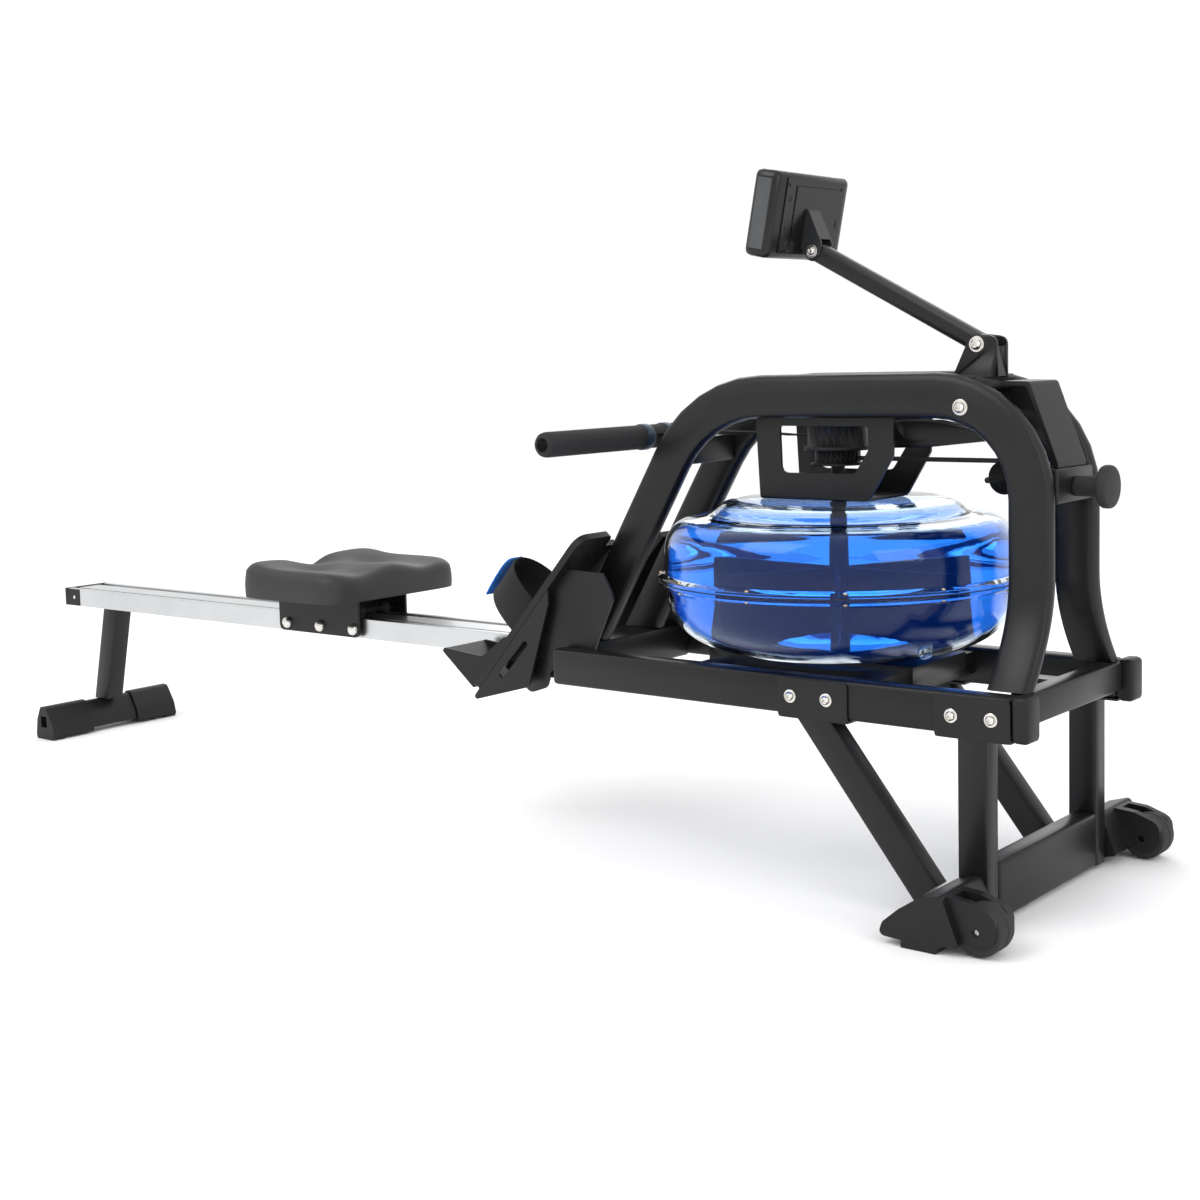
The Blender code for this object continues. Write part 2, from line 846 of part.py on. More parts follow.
def seat_pad():
    """The seat: a rounded slab whose top has two hollows, a notch behind and two thigh grooves in front."""
    across, along = 18, 12
    mesh = bmesh.new()
    grid = {}
    middle = fx(SEAT_BACK)
    half_x, half_y = SEAT_LENGTH / 2, SEAT_WIDTH / 2

    def squircle(u, v):
        """Moves a unit square's points into a square with round corners."""
        r = max(abs(u), abs(v))
        length = math.hypot(u, v)
        if not length:
            return 0.0, 0.0
        power = 9
        edge = 1 / ((abs(u) / length) ** power + (abs(v) / length) ** power) ** (1 / power)
        return u / length * edge * r, v / length * edge * r

    def top(u, v):
        hollow = -0.011 * math.exp(-(((u + 0.15) / 0.5) ** 2) - (((abs(v) - 0.42) / 0.28) ** 2))
        notch = -0.012 * math.exp(-(((u + 1) / 0.5) ** 2) - ((v / 0.24) ** 2))
        thigh = -0.007 * math.exp(-(((u - 1) / 0.5) ** 2) - (((abs(v) - 0.5) / 0.3) ** 2))
        rear = 0.007 * math.exp(-(((u + 0.85) / 0.35) ** 2)) * (1 - math.exp(-((v / 0.3) ** 2)))
        crest = 0.004 * math.exp(-((v / 0.25) ** 2)) * max(u, 0)
        return SEAT_RIM_Z + hollow + notch + thigh + rear + crest

    for j in range(across + 1):
        for i in range(along + 1):
            u, v = 2 * i / along - 1, 2 * j / across - 1
            a, b = squircle(u, v)
            edge = max(abs(u), abs(v))
            shrink = 0.93
            fall = 0.006 if edge > 0.99 else 0.0
            x, y = middle + a * half_x * shrink, b * half_y * shrink
            grid["top", i, j] = mesh.verts.new((x, y, top(a, b) - fall))
            grid["under", i, j] = mesh.verts.new((middle + a * half_x, b * half_y, SEAT_UNDER_Z))
    for j in range(across):
        for i in range(along):
            corners = ((i, j), (i + 1, j), (i + 1, j + 1), (i, j + 1))
            mesh.faces.new([grid["top", *c] for c in corners])
            mesh.faces.new([grid["under", *c] for c in reversed(corners)])
    rim = [(i, 0) for i in range(along)] + [(along, j) for j in range(across)]
    rim += [(i, across) for i in range(along, 0, -1)] + [(0, j) for j in range(across, 0, -1)]
    for here, after in zip(rim, rim[1:] + rim[:1]):
        mesh.faces.new(
            (grid["under", *here], grid["under", *after], grid["top", *after], grid["top", *here])
        )
    bmesh.ops.recalc_face_normals(mesh, faces=mesh.faces)
    data = bpy.data.meshes.new("seat_pad")
    mesh.to_mesh(data)
    mesh.free()
    obj = bpy.data.objects.new("seat_pad", data)
    bpy.context.scene.collection.objects.link(obj)
    smooth(place(obj, "seat_pad", SEAT_SKIN), 60)


def on_foot(along, up):
    """A point of the footplates' side view: so far up along the plate, and so far out of its sole side."""
    x = fx(FOOT_LOW_BACK) + along * math.cos(FOOT_ANGLE) - up * math.sin(FOOT_ANGLE)
    z = FOOT_LOW_Z + along * math.sin(FOOT_ANGLE) + up * math.cos(FOOT_ANGLE)
    return x, z


def footrests():
    """Two sloping plates with sliding heel cups and straps, on brackets beside the seat rail."""
    thick = 0.010
    under = -thick - GAP
    for side, sign in SIDES:
        middle = sign * (FOOT_INNER_Y + FOOT_WIDTH / 2)
        plate_outline = [
            (*on_foot(0.0, 0.0), 0.003),
            (*on_foot(0.0, -thick), 0.003),
            (*on_foot(FOOT_LENGTH, -thick), 0.003),
            (*on_foot(FOOT_LENGTH, 0.0), 0.003),
        ]
        plate = side_plate(
            f"footplate_{side}",
            [rounded_outline(plate_outline, 3)],
            middle,
            FOOT_WIDTH,
            PLASTIC,
        )
        for along in (FOOT_LENGTH - 0.030, FOOT_LENGTH - 0.013):
            for across in (-0.0275, 0.0275):
                x, z = on_foot(along, -thick / 2)
                hole = turned(
                    "toe_hole",
                    [(0, 0.02), (0.0030, 0.02), (0.0030, -0.02), (0, -0.02)],
                    (x, middle + across, z),
                    None,
                    "Z",
                    10,
                )
                hole.rotation_euler = (0, -FOOT_ANGLE, 0)
                cut(plate, hole)
        corner = box(
            f"toe_corner_{side}",
            (fx(0.672), sign * 0.0640 - 0.0145, 0.40),
            (fx(0.600), sign * 0.0640 + 0.0145, 0.46),
            None,
        )
        cut(plate, corner)
        smooth(plate)
        heel_cup(side, middle)
        bracket = [
            (fx(0.766), 0.206, 0.012),
            (fx(0.736), 0.216, 0.012),
            (fx(0.728), 0.240, 0.006),
            (fx(0.652), 0.268, 0.012),
            (fx(0.612), 0.352, 0.010),
            (fx(0.630), 0.384, 0.006),
            (*on_foot(FOOT_LENGTH - 0.058, under), 0.0),
            (*on_foot(0.050, under), 0.0),
        ]
        gusset = [
            (fx(0.868), 0.187, 0.004),
            (fx(0.757), 0.217, 0.010),
            (*on_foot(0.190, under - 0.014), 0.006),
            (*on_foot(0.205, under), 0.0),
            (*on_foot(0.002, under), 0.0),
        ]
        slot = rounded_slot((fx(0.807), 0.230), (fx(0.761), 0.278), 0.0045)
        web = side_plate(
            f"footrest_bracket_{side}",
            [rounded_outline(bracket)],
            sign * (RAIL_OUTER_Y - RAIL_WIDTH - GAP - 0.002),
            0.004,
            STEEL,
        )
        side_gusset = side_plate(
            f"footrest_gusset_{side}",
            [rounded_outline(gusset), slot[::-1]],
            sign * 0.1485,
            0.004,
            STEEL,
        )
        flange = [
            on_foot(0.060, under - 0.0006),
            on_foot(0.060, under - 0.0046),
            on_foot(0.185, under - 0.0046),
            on_foot(0.185, under - 0.0006),
        ]
        bridge = side_plate(f"footrest_flange_{side}", [flange], sign * 0.1401, 0.0168, STEEL)
        joined(web, bridge, side_gusset)
        smooth(web)
        strap(side, middle)


def heel_cup(side, middle):
    """A cup that slides along the footplate: a sole, a back wall and two low side walls."""
    lift = GAP
    sole = [
        (*on_foot(-0.009, lift), 0.0),
        (*on_foot(0.102, lift), 0.0),
        (*on_foot(0.102, lift + 0.0028), 0.001),
        (*on_foot(0.004, lift + 0.0045), 0.006),
        (*on_foot(-0.006, 0.078), 0.002),
        (*on_foot(-0.012, 0.078), 0.002),
    ]
    wall = [
        (*on_foot(-0.009, lift), 0.0),
        (*on_foot(0.098, lift), 0.0),
        (*on_foot(0.090, lift + 0.006), 0.003),
        (*on_foot(0.040, lift + 0.016), 0.020),
        (*on_foot(-0.006, 0.078), 0.003),
        (*on_foot(-0.012, 0.078), 0.003),
    ]
    cup = side_plate(f"heel_cup_{side}", [rounded_outline(sole, 3)], middle, 0.084, PLASTIC)
    for way in (-1, 1):
        cheek = side_plate(
            f"cup_wall_{side}_{way}", [rounded_outline(wall, 3)], middle + way * 0.0430, 0.004, PLASTIC
        )
        joined(cup, cheek)
    smooth(cup)


def rounded_slot(low, high, radius, steps=5):
    """The outline of a slot with round ends."""
    low, high = Vector(low), Vector(high)
    way = (high - low).normalized()
    base = math.atan2(way.y, way.x)
    points = []
    for centre, start in ((high, -math.pi / 2), (low, math.pi / 2)):
        for step in range(steps):
            angle = base + start + math.pi * step / (steps - 1)
            points.append((centre.x + radius * math.cos(angle), centre.y + radius * math.sin(angle)))
    return points


def strap(side, middle):
    """The foot strap: an arch of webbing over the plate, cut square to it."""
    half_width = FOOT_WIDTH / 2 - 0.004
    low, high = 0.108, 0.172
    rise = 0.082
    outer_ring, inner_ring = [], []
    for step in range(9):
        angle = math.pi * step / 8
        for ring, thinner in ((outer_ring, 0.0), (inner_ring, 0.0035)):
            ring.append(
                (
                    (half_width - thinner) * math.cos(angle),
                    0.0008 + (rise - thinner) * math.sin(angle) ** 0.8,
                )
            )
    x, z = on_foot((low + high) / 2, 0.0)
    turn = Matrix(
        (
            (0, -math.sin(FOOT_ANGLE), math.cos(FOOT_ANGLE), x),
            (1, 0, 0, middle),
            (0, math.cos(FOOT_ANGLE), math.sin(FOOT_ANGLE), z),
            (0, 0, 0, 1),
        )
    )
    smooth(
        extrusion(
            f"foot_strap_{side}",
            [outer_ring + inner_ring[::-1]],
            high - low,
            turn,
            WEBBING,
        )
    )


def tank():
    """The clear tank in two shells with a gasket between their flanges, the water and the paddle inside."""
    centre = (fx(TANK_BACK), 0, 0)
    wall = TANK_WALL
    radius = TANK_RADIUS
    flange = radius + 0.008
    seam = TANK_SEAM_Z
    floor_z = TANK_FLOOR_Z
    lower_outer = [
        (flange, seam - 0.0005 - GAP),
        (flange, seam - 0.006),
        (radius - 0.001, seam - 0.009),
        (radius - 0.003, 0.358),
        (0.222, 0.337),
        (0.208, 0.318),
        (0.184, 0.3025),
        (0.152, 0.2915),
        (0.110, floor_z),
    ]
    lower_inner = [
        (0.108, floor_z + wall),
        (0.150, 0.2955),
        (0.182, 0.3065),
        (0.205, 0.3210),
        (0.2185, 0.339),
        (radius - 0.003 - wall, 0.359),
        (radius - 0.001 - wall, seam - 0.009),
        (radius - 0.001 - wall, seam - 0.0005 - GAP),
    ]
    floor = [(0.012, floor_z), (0.012, floor_z + wall)]
    shell = lower_outer + floor + lower_inner
    smooth(turned("tank_lower", shell, centre, CLEAR, "Z", 40, True), 50)
    ring = [
        (flange - 0.001, seam + 0.0005),
        (flange - 0.001, seam - 0.0005),
        (radius - 0.005, seam - 0.0005),
        (radius - 0.005, seam + 0.0005),
    ]
    turned("tank_gasket", ring, centre, RUBBER, "Z", 40, True)
    dome = [(0.012, TANK_TOP_Z), (0.132, TANK_TOP_Z), (0.150, 0.4835), (0.163, 0.4740)]
    upper_outer = [
        (0.174, 0.4670),
        (0.190, 0.4650),
        (0.204, 0.4620),
        (0.217, 0.4540),
        (0.226, 0.4410),
        (0.2303, 0.4240),
        (radius, 0.4000),
        (radius, seam + 0.009),
        (flange, seam + 0.006),
        (flange, seam + 0.0005 + GAP),
    ]
    upper_inner = [
        (radius - wall, seam + 0.0005 + GAP),
        (radius - wall, 0.4000),
        (0.2263, 0.4232),
        (0.2222, 0.4390),
        (0.2140, 0.4510),
        (0.2025, 0.4580),
        (0.1892, 0.4610),
        (0.1725, 0.4630),
    ]
    dome_inner = [(0.161, 0.4700), (0.1488, 0.4797), (0.132, TANK_TOP_Z - wall), (0.012, TANK_TOP_Z - wall)]
    shell = dome + upper_outer + upper_inner + dome_inner
    smooth(turned("tank_upper", shell, centre, CLEAR, "Z", 40, True), 50)
    top = 0.4565
    clear = 0.0015
    water_outer = [
        (0.166, top),
        (0.2005, top),
        (0.2125, 0.4495),
        (0.2206, 0.4380),
        (0.2246, 0.4230),
        (radius - wall - clear, 0.4000),
        (radius - 0.001 - wall - clear, seam - 0.009),
        (radius - 0.003 - wall - clear, 0.3600),
        (0.2165, 0.3400),
        (0.2035, 0.3226),
        (0.1810, 0.3082),
        (0.1495, 0.2972),
        (0.108, floor_z + wall + clear),
        (0.020, floor_z + wall + clear),
    ]
    water_inner = [(0.020, 0.2940), (0.150, 0.3040), (0.166, 0.3160)]
    smooth(turned("water", water_outer + water_inner, centre, WATER, "Z", 40, True), 50)
    paddle(centre)


def paddle(centre):
    """The paddle: a shaft on the tank's axis with six flat blades in the water."""
    shaft = turned(
        "paddle",
        [(0, 0.5300), (0.009, 0.5300), (0.009, 0.4730), (0.011, 0.4730), (0.011, 0.296), (0, 0.296)],
        centre,
        PLASTIC,
        "Z",
        24,
    )
    for blade in range(3):
        turn = Matrix.Rotation(math.pi * blade / 3, 4, "Z")
        wing = box(f"paddle_wing_{blade}", (-0.160, -0.002, 0.324), (0.160, 0.002, 0.396), PLASTIC)
        wing.location = (0, 0, 0)
        wing.data.transform(Matrix.Translation((0, 0, 0.360)))
        wing.matrix_world = Matrix.Translation(centre) @ turn
        joined(shaft, wing)
    return shaft


def drive():
    """The bracket over the tank, the strap drum on the paddle's shaft, and the strap, cord and pulleys."""
    low, high = TANK_TOP_Z + GAP, 0.604
    reach = HOOP_OUTER_Y - HOOP_DEPTH - GAP
    outline = [
        (fx(0.432), high, 0.003),
        (fx(0.426), low, 0.004),
        (fx(0.262), low, 0.010),
        (fx(0.226), 0.546, 0.006),
        (fx(0.224), high, 0.003),
    ]
    window = [
        (fx(0.394), 0.583, 0.003),
        (fx(0.392), 0.522, 0.008),
        (fx(0.282), 0.522, 0.008),
        (fx(0.262), 0.552, 0.006),
        (fx(0.262), 0.583, 0.003),
    ]
    thick = 0.004
    base = box(
        "drive_bracket",
        (fx(0.424), -reach + thick / 2, low),
        (fx(0.266), reach - thick / 2, low + 0.004),
        STEEL,
    )
    guide = [
        (fx(0.250), 0.589, 0.003),
        (fx(0.250), 0.554, 0.006),
        (fx(0.192), 0.556, 0.006),
        (fx(0.105), 0.565, 0.002),
        (fx(0.105), 0.573, 0.002),
        (fx(0.192), 0.589, 0.003),
    ]
    tie = box(
        "guide_tie",
        (fx(0.246), -reach + thick / 2, 0.566),
        (fx(0.228), reach - thick / 2, 0.588),
        STEEL,
    )
    joined(base, side_plate("cord_guide", [rounded_outline(guide, 3)], 0, 0.034, STEEL), tie)
    for side, sign in SIDES:
        cheek = side_plate(
            f"bracket_cheek_{side}",
            [rounded_outline(outline, 3), rounded_outline(window, 3)[::-1]],
            sign * (reach - thick / 2),
            thick,
            STEEL,
        )
        joined(base, cheek)
    hole = turned(
        "bracket_hole",
        [(0, 0.02), (0.0105, 0.02), (0.0105, -0.02), (0, -0.02)],
        (fx(TANK_BACK), 0, low),
        None,
        "Z",
        24,
    )
    cut(base, hole)
    drum_profile = [
        (0, 0.5900),
        (0.0445, 0.5900),
        (0.0445, 0.5870),
        (0.0400, 0.5860),
        (0.0400, 0.5560),
        (0.0445, 0.5550),
        (0.0445, 0.5500),
        (0.0300, 0.5490),
        (0.0300, 0.5340),
        (0.0360, 0.5330),
        (0.0360, 0.5303),
        (0, 0.5303),
    ]
    smooth(turned("strap_drum", drum_profile, (fx(TANK_BACK), 0, 0), PLASTIC, "Z", 28))
    roller = [(0, 0.026), (0.011, 0.026), (0.011, -0.026), (0, -0.026)]
    turned("strap_roller", roller, (fx(0.546), 0, 0.585), PLASTIC, "Y", 20)
    half = [(0, reach), (0.0037, reach), (0.0037, 0.006), (0.021, 0.006), (0.021, 0.004), (0.017, 0.0015)]
    pulley = half + [(r, -y) for r, y in reversed(half)]
    smooth(turned("cord_pulley", pulley, (fx(0.097), 0, 0.519), PLASTIC, "Y", 24))


def handle():
    """A foam-covered bar across the machine, resting between the hoops' rear legs."""
    half = HANDLE_LENGTH / 2
    profile = [(0, half), (0.011, half - 0.001), (0.0165, half - 0.006), (0.017, half - 0.010)]
    profile += [(0.017, 0.032), (0.0185, 0.030), (0.0185, 0.018), (0.015, 0.016)]
    mirrored = [(r, -y) for r, y in reversed(profile)]
    smooth(
        turned(
            "handle",
            profile + mirrored,
            (fx(HANDLE_BACK), 0, HANDLE_Z),
            FOAM,
            "Y",
            20,
        )
    )
    start = fx(HANDLE_BACK) + 0.0155
    end = fx(TANK_BACK) - 0.0405
    path = [(start, HANDLE_Z + 0.004), (fx(0.560), 0.5728), (fx(0.532), 0.5729), (end, 0.5700)]
    band("drive_strap", path, 0.0016, 0.024, 0, WEBBING)


def return_cord():
    """The elastic cord from the drum, over the front pulley and down to the front of the frame."""
    pulley_x, pulley_z = fx(0.097), 0.519
    radius = 0.0030
    wrap = 0.017 + radius + 0.0004
    points = [(fx(TANK_BACK) + 0.0306, 0, pulley_z + wrap), (fx(0.220), 0, pulley_z + wrap)]
    for step in range(5):
        angle = math.pi / 2 * (1 - step / 4)
        points.append((pulley_x + wrap * math.cos(angle), 0, pulley_z + wrap * math.sin(angle)))
    points.append((pulley_x + wrap, 0, 0.400))
    points.append((pulley_x + wrap, 0, 0.2760))
    return points, radius


def console():
    """The arm on its bracket over the hoops' front bend, and the console that tilts at the arm's end."""
    reach = HOOP_OUTER_Y - HOOP_DEPTH - GAP
    half = ARM_WIDTH / 2
    low_x, low_z = fx(ARM_LOW[0]), ARM_LOW[1]
    high_x, high_z = fx(ARM_HIGH[0]), ARM_HIGH[1]
    base = box(
        "console_bracket",
        (fx(0.150), -reach, 0.628),
        (fx(0.110), reach, 0.646),
        STEEL,
        0.002,
    )
    cheek = [
        (fx(0.162), 0.642, 0.0),
        (fx(0.101), 0.642, 0.0),
        (fx(0.101), 0.692, 0.010),
        (fx(0.136), 0.6965, 0.008),
    ]
    web = box("console_web", (fx(0.1040), -0.0150, 0.6435), (fx(0.1014), 0.0150, 0.6800), STEEL)
    for side, sign in SIDES:
        plate = side_plate(
            f"console_cheek_{side}",
            [rounded_outline(cheek)],
            sign * (half + GAP + 0.0020),
            0.004,
            STEEL,
        )
        joined(base, plate)
    joined(base, web)
    ends = []
    for end, x, z in (("low", low_x, low_z), ("high", high_x, high_z)):
        round_end = [(0, half), (0.0130, half), (0.0130, -half), (0, -half)]
        ends.append(turned(f"arm_end_{end}", round_end, (x, 0, z), STEEL, "Y", 24))
    arm = tube(
        "console_arm",
        (low_x, 0, low_z),
        (high_x, 0, high_z),
        0.0255,
        ARM_WIDTH - 0.0006,
        0.007,
        STEEL,
    )
    joined(arm, *ends)
    smooth(arm)
    centre = Vector((fx(CONSOLE_BACK), 0, CONSOLE_Z))
    turn = Matrix.Translation(centre) @ Matrix.Rotation(CONSOLE_TILT, 4, "Y")
    pivot = turn.inverted() @ Vector((high_x, 0, high_z))
    thick, wide, tall = (side / 2 for side in CONSOLE_SIZE)
    case = box("console_case", (-thick, -wide, -tall), (thick, wide, tall), PLASTIC)
    case.location = (0, 0, 0)
    case.matrix_world = turn
    bevel(case, 0.009, 3)
    screen = box("console_screen", (-0.0015, -0.066, -0.030), (0, 0.066, 0.030), SCREEN)
    screen.matrix_world = turn @ Matrix.Translation((-thick - GAP - 0.00075, 0, 0.014))
    for name, y in (("left", 0.045), ("middle", 0.0), ("right", -0.045)):
        pocket = turned(
            f"button_pocket_{name}",
            [(0, 0.004), (0.0085, 0.004), (0.0085, -0.020), (0, -0.020)],
            (0, 0, 0),
            None,
            "X",
            20,
        )
        spot = turn @ Matrix.Translation((-thick, y, -0.034))
        lying = Matrix.Rotation(math.pi / 2, 4, "Y")
        pocket.matrix_world = spot @ lying
        cut(case, pocket)
        button = turned(
            f"console_button_{name}",
            [(0, 0.0020), (0.0080, 0.0020), (0.0080, -0.0010), (0.0070, -0.0020), (0, -0.0020)],
            (0, 0, 0),
            RUBBER,
            "X",
            20,
        )
        button.matrix_world = spot @ lying
        smooth(button)
    smooth(case)
    neck_outline = [
        (thick + GAP, pivot.z + 0.004, 0.0),
        (pivot.x - 0.004, pivot.z - 0.0125, 0.008),
        (pivot.x + 0.0125, pivot.z - 0.0040, 0.008),
        (pivot.x + 0.0125, pivot.z + 0.0130, 0.004),
        (thick + 0.0060, 0.010, 0.004),
        (thick + GAP, 0.014, 0.0),
    ]
    neck = extrusion(
        "console_neck",
        [rounded_outline(neck_outline)],
        ARM_WIDTH + 0.0066,
        turn @ Matrix.Rotation(math.pi / 2, 4, "X"),
        STEEL,
    )
    sweep = turned(
        "neck_slot",
        [(0, half + GAP), (0.0150, half + GAP), (0.0150, -half - GAP), (0, -half - GAP)],
        (high_x, 0, high_z),
        None,
        "Y",
        24,
    )
    opening = box(
        "neck_opening", (-0.0150, -half - GAP, -0.040), (0.060, half + GAP, 0.0150), None
    )
    opening.location = (0, 0, 0)
    opening.data.transform(Matrix.Translation((0.0225, 0, -0.0125)))
    opening.matrix_world = Matrix.Translation((high_x, 0, high_z))
    cut(neck, sweep, opening)
    smooth(neck)


base_frame()
tank_cradle()
hoops()
between_hoops()
stand()
front_feet()
seat_rail()
rear_foot()
seat()
footrests()
tank()
drive()
handle()
cord_points, cord_radius = return_cord()
cord("return_cord", cord_points, cord_radius, RUBBER)
console()
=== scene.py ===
"""The look of a water-resistance rowing machine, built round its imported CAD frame.

Metres, with +Z up. The tank end is at +X and the rear foot at -X. The camera looks from the tank end
and from -Y, the side that is called right here.
"""

import json
import math

import bmesh
import bpy
from mathutils import Matrix, Vector


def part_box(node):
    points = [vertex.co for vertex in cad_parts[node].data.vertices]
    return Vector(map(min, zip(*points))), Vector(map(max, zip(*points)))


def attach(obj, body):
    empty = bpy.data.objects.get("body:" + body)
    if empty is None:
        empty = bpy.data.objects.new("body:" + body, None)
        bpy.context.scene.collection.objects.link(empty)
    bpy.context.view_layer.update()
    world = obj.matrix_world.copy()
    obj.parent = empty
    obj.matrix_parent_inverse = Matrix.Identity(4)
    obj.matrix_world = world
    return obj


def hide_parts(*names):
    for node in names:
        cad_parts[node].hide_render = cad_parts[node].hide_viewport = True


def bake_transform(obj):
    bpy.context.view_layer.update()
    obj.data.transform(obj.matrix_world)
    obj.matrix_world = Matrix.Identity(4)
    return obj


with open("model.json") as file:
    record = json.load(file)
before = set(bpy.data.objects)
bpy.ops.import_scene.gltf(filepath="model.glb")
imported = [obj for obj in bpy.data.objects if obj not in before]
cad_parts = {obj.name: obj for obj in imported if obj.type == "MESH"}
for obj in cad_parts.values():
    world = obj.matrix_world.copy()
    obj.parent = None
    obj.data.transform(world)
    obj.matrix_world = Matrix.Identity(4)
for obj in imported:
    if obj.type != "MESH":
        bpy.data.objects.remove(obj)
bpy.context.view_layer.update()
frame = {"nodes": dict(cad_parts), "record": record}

# The camera, fitted to the frame's straight edges. The three angles are in degrees.
CAMERA_PLACE = (1.8777, -2.0200, 0.6800)
CAMERA_YAW, CAMERA_PITCH, CAMERA_ROLL = 38.79, 5.12, 1.39
CAMERA_LENS = 53.67
CAMERA_SENSOR = 36.0
CAMERA_SHIFT = (-0.005, -0.070)
CAMERA_REACH = 100

# The studio. A light is a name, a place, what it points at, the length of its side, and watts.
WORLD_STRENGTH = 1.04
LIGHTS = (
    ("key", (-0.6, -2.6, 3.4), (0.3, 0, 0.3), 2.4, 55),
    ("side", (3.6, -1.0, 1.8), (0.7, 0, 0.4), 1.8, 26),
    ("back", (-1.4, 3.2, 2.2), (0.2, 0, 0.4), 2.4, 34),
)
FLOOR_REACH = 40
FLOOR_DROP = 0.0002  # under the feet, so that the two never share a plane
FLOOR_WHITE = (0.97, 0.97, 0.97)

# Places on the machine that several pieces share.
SIDES = (("right", -1), ("left", 1))
FOOT_ANGLE = math.radians(48.5)  # how steeply the footplates stand
FOOT_LOW = (0.124, 0.212)  # x and z of the low end of a footplate's top face
FOOT_MIDDLE_Y = 0.102
TANK_X = 0.647
TANK_SEAM_Z = 0.384
WHEEL_X, WHEEL_Z = 0.974, 0.030
CONSOLE_MIDDLE = (0.590, 0, 0.857)
CONSOLE_LEAN = math.radians(11.5)


def on_foot(along, up):
    """A point of the footplates' side view: so far up along the plate and so far off its top."""
    x = FOOT_LOW[0] + along * math.cos(FOOT_ANGLE) - up * math.sin(FOOT_ANGLE)
    z = FOOT_LOW[1] + along * math.sin(FOOT_ANGLE) + up * math.cos(FOOT_ANGLE)
    return x, z


# ---------------------------------------------------------------- camera, light and floor


def camera():
    yaw, pitch, roll = (math.radians(a) for a in (CAMERA_YAW, CAMERA_PITCH, CAMERA_ROLL))
    level = Vector((math.cos(yaw), math.sin(yaw), 0))
    ahead = Vector(
        (-math.sin(yaw) * math.cos(pitch), math.cos(yaw) * math.cos(pitch), -math.sin(pitch))
    )
    below = ahead.cross(level)
    right = math.cos(roll) * level + math.sin(roll) * below
    down = math.cos(roll) * below - math.sin(roll) * level
    matrix = Matrix.Identity(4)
    for column, way in enumerate((right, -down, -ahead)):
        for row in range(3):
            matrix[row][column] = way[row]
    matrix.translation = CAMERA_PLACE
    data = bpy.data.cameras.new("camera")
    data.lens = CAMERA_LENS
    data.sensor_width = CAMERA_SENSOR
    data.shift_x, data.shift_y = CAMERA_SHIFT
    data.clip_end = CAMERA_REACH
    obj = bpy.data.objects.new("camera", data)
    obj.matrix_world = matrix
    bpy.context.scene.collection.objects.link(obj)
    bpy.context.scene.camera = obj


def area_light(name, place, target, size, power):
    data = bpy.data.lights.new(name, "AREA")
    data.shape = "RECTANGLE"
    data.size = data.size_y = size
    data.energy = power
    obj = bpy.data.objects.new(name, data)
    obj.location = place
    obj.rotation_euler = (Vector(target) - Vector(place)).to_track_quat("-Z", "Y").to_euler()
    bpy.context.scene.collection.objects.link(obj)


def studio():
    """Even white light from all round, three soft lamps, and a white floor."""
    world = bpy.data.worlds.new("studio")
    world.use_nodes = True
    background = world.node_tree.nodes["Background"]
    background.inputs["Color"].default_value = (1.0, 1.0, 1.0, 1)
    background.inputs["Strength"].default_value = WORLD_STRENGTH
    bpy.context.scene.world = world
    for light in LIGHTS:
        area_light(*light)
    bpy.context.scene.view_settings.view_transform = "Standard"
    reach = FLOOR_REACH
    mesh = bpy.data.meshes.new("floor")
    mesh.from_pydata(
        [(-reach, -reach, 0), (reach, -reach, 0), (reach, reach, 0), (-reach, reach, 0)],
        [],
        [(0, 1, 2, 3)],
    )
    floor = bpy.data.objects.new("floor", mesh)
    floor.location.z = -FLOOR_DROP
    floor.data.materials.append(plain("floor_white", FLOOR_WHITE, 0.7))
    bpy.context.scene.collection.objects.link(floor)


# ---------------------------------------------------------------- materials

SLOW_SCALE, SLOW_DETAIL = 9, 4  # the noise behind the slow changes
FINE_DETAIL = 3
RAMP_ENDS = (0.3, 0.7)  # where in the noise the darkest and the lightest colour stand
GRAIN_SHARE = 0.35  # how much of the change of colour follows the grain
SMOOTHEST = 0.02

THREAD = 0.0011  # spacing of the webbing's threads
THREAD_WAVES = 3.14  # turns the spacing into the wave node's scale

RIPPLE_SCALE, RIPPLE_DETAIL = 14, 2
RIPPLE_STRENGTH, RIPPLE_DEPTH = 0.25, 0.004


def plain(name, colour, roughness, metallic=0.0):
    made = bpy.data.materials.new(name)
    made.use_nodes = True
    shader = made.node_tree.nodes["Principled BSDF"]
    shader.inputs["Base Color"].default_value = (*colour, 1)
    shader.inputs["Roughness"].default_value = roughness
    shader.inputs["Metallic"].default_value = metallic
    return made


def bumped(made, height, strength, depth):
    """Let a height output raise a material's surface."""
    tree = made.node_tree
    relief = tree.nodes.new("ShaderNodeBump")
    relief.inputs["Strength"].default_value = strength
    relief.inputs["Distance"].default_value = depth
    tree.links.new(height, relief.inputs["Height"])
    shader = tree.nodes["Principled BSDF"]
    tree.links.new(relief.outputs["Normal"], shader.inputs["Normal"])


def noise(made, place, scale, detail):
    """The output of a noise texture of a material, read at a place output."""
    tree = made.node_tree
    texture = tree.nodes.new("ShaderNodeTexNoise")
    texture.inputs["Scale"].default_value = scale
    texture.inputs["Detail"].default_value = detail
    tree.links.new(place, texture.inputs["Vector"])
    return texture.outputs["Fac"]


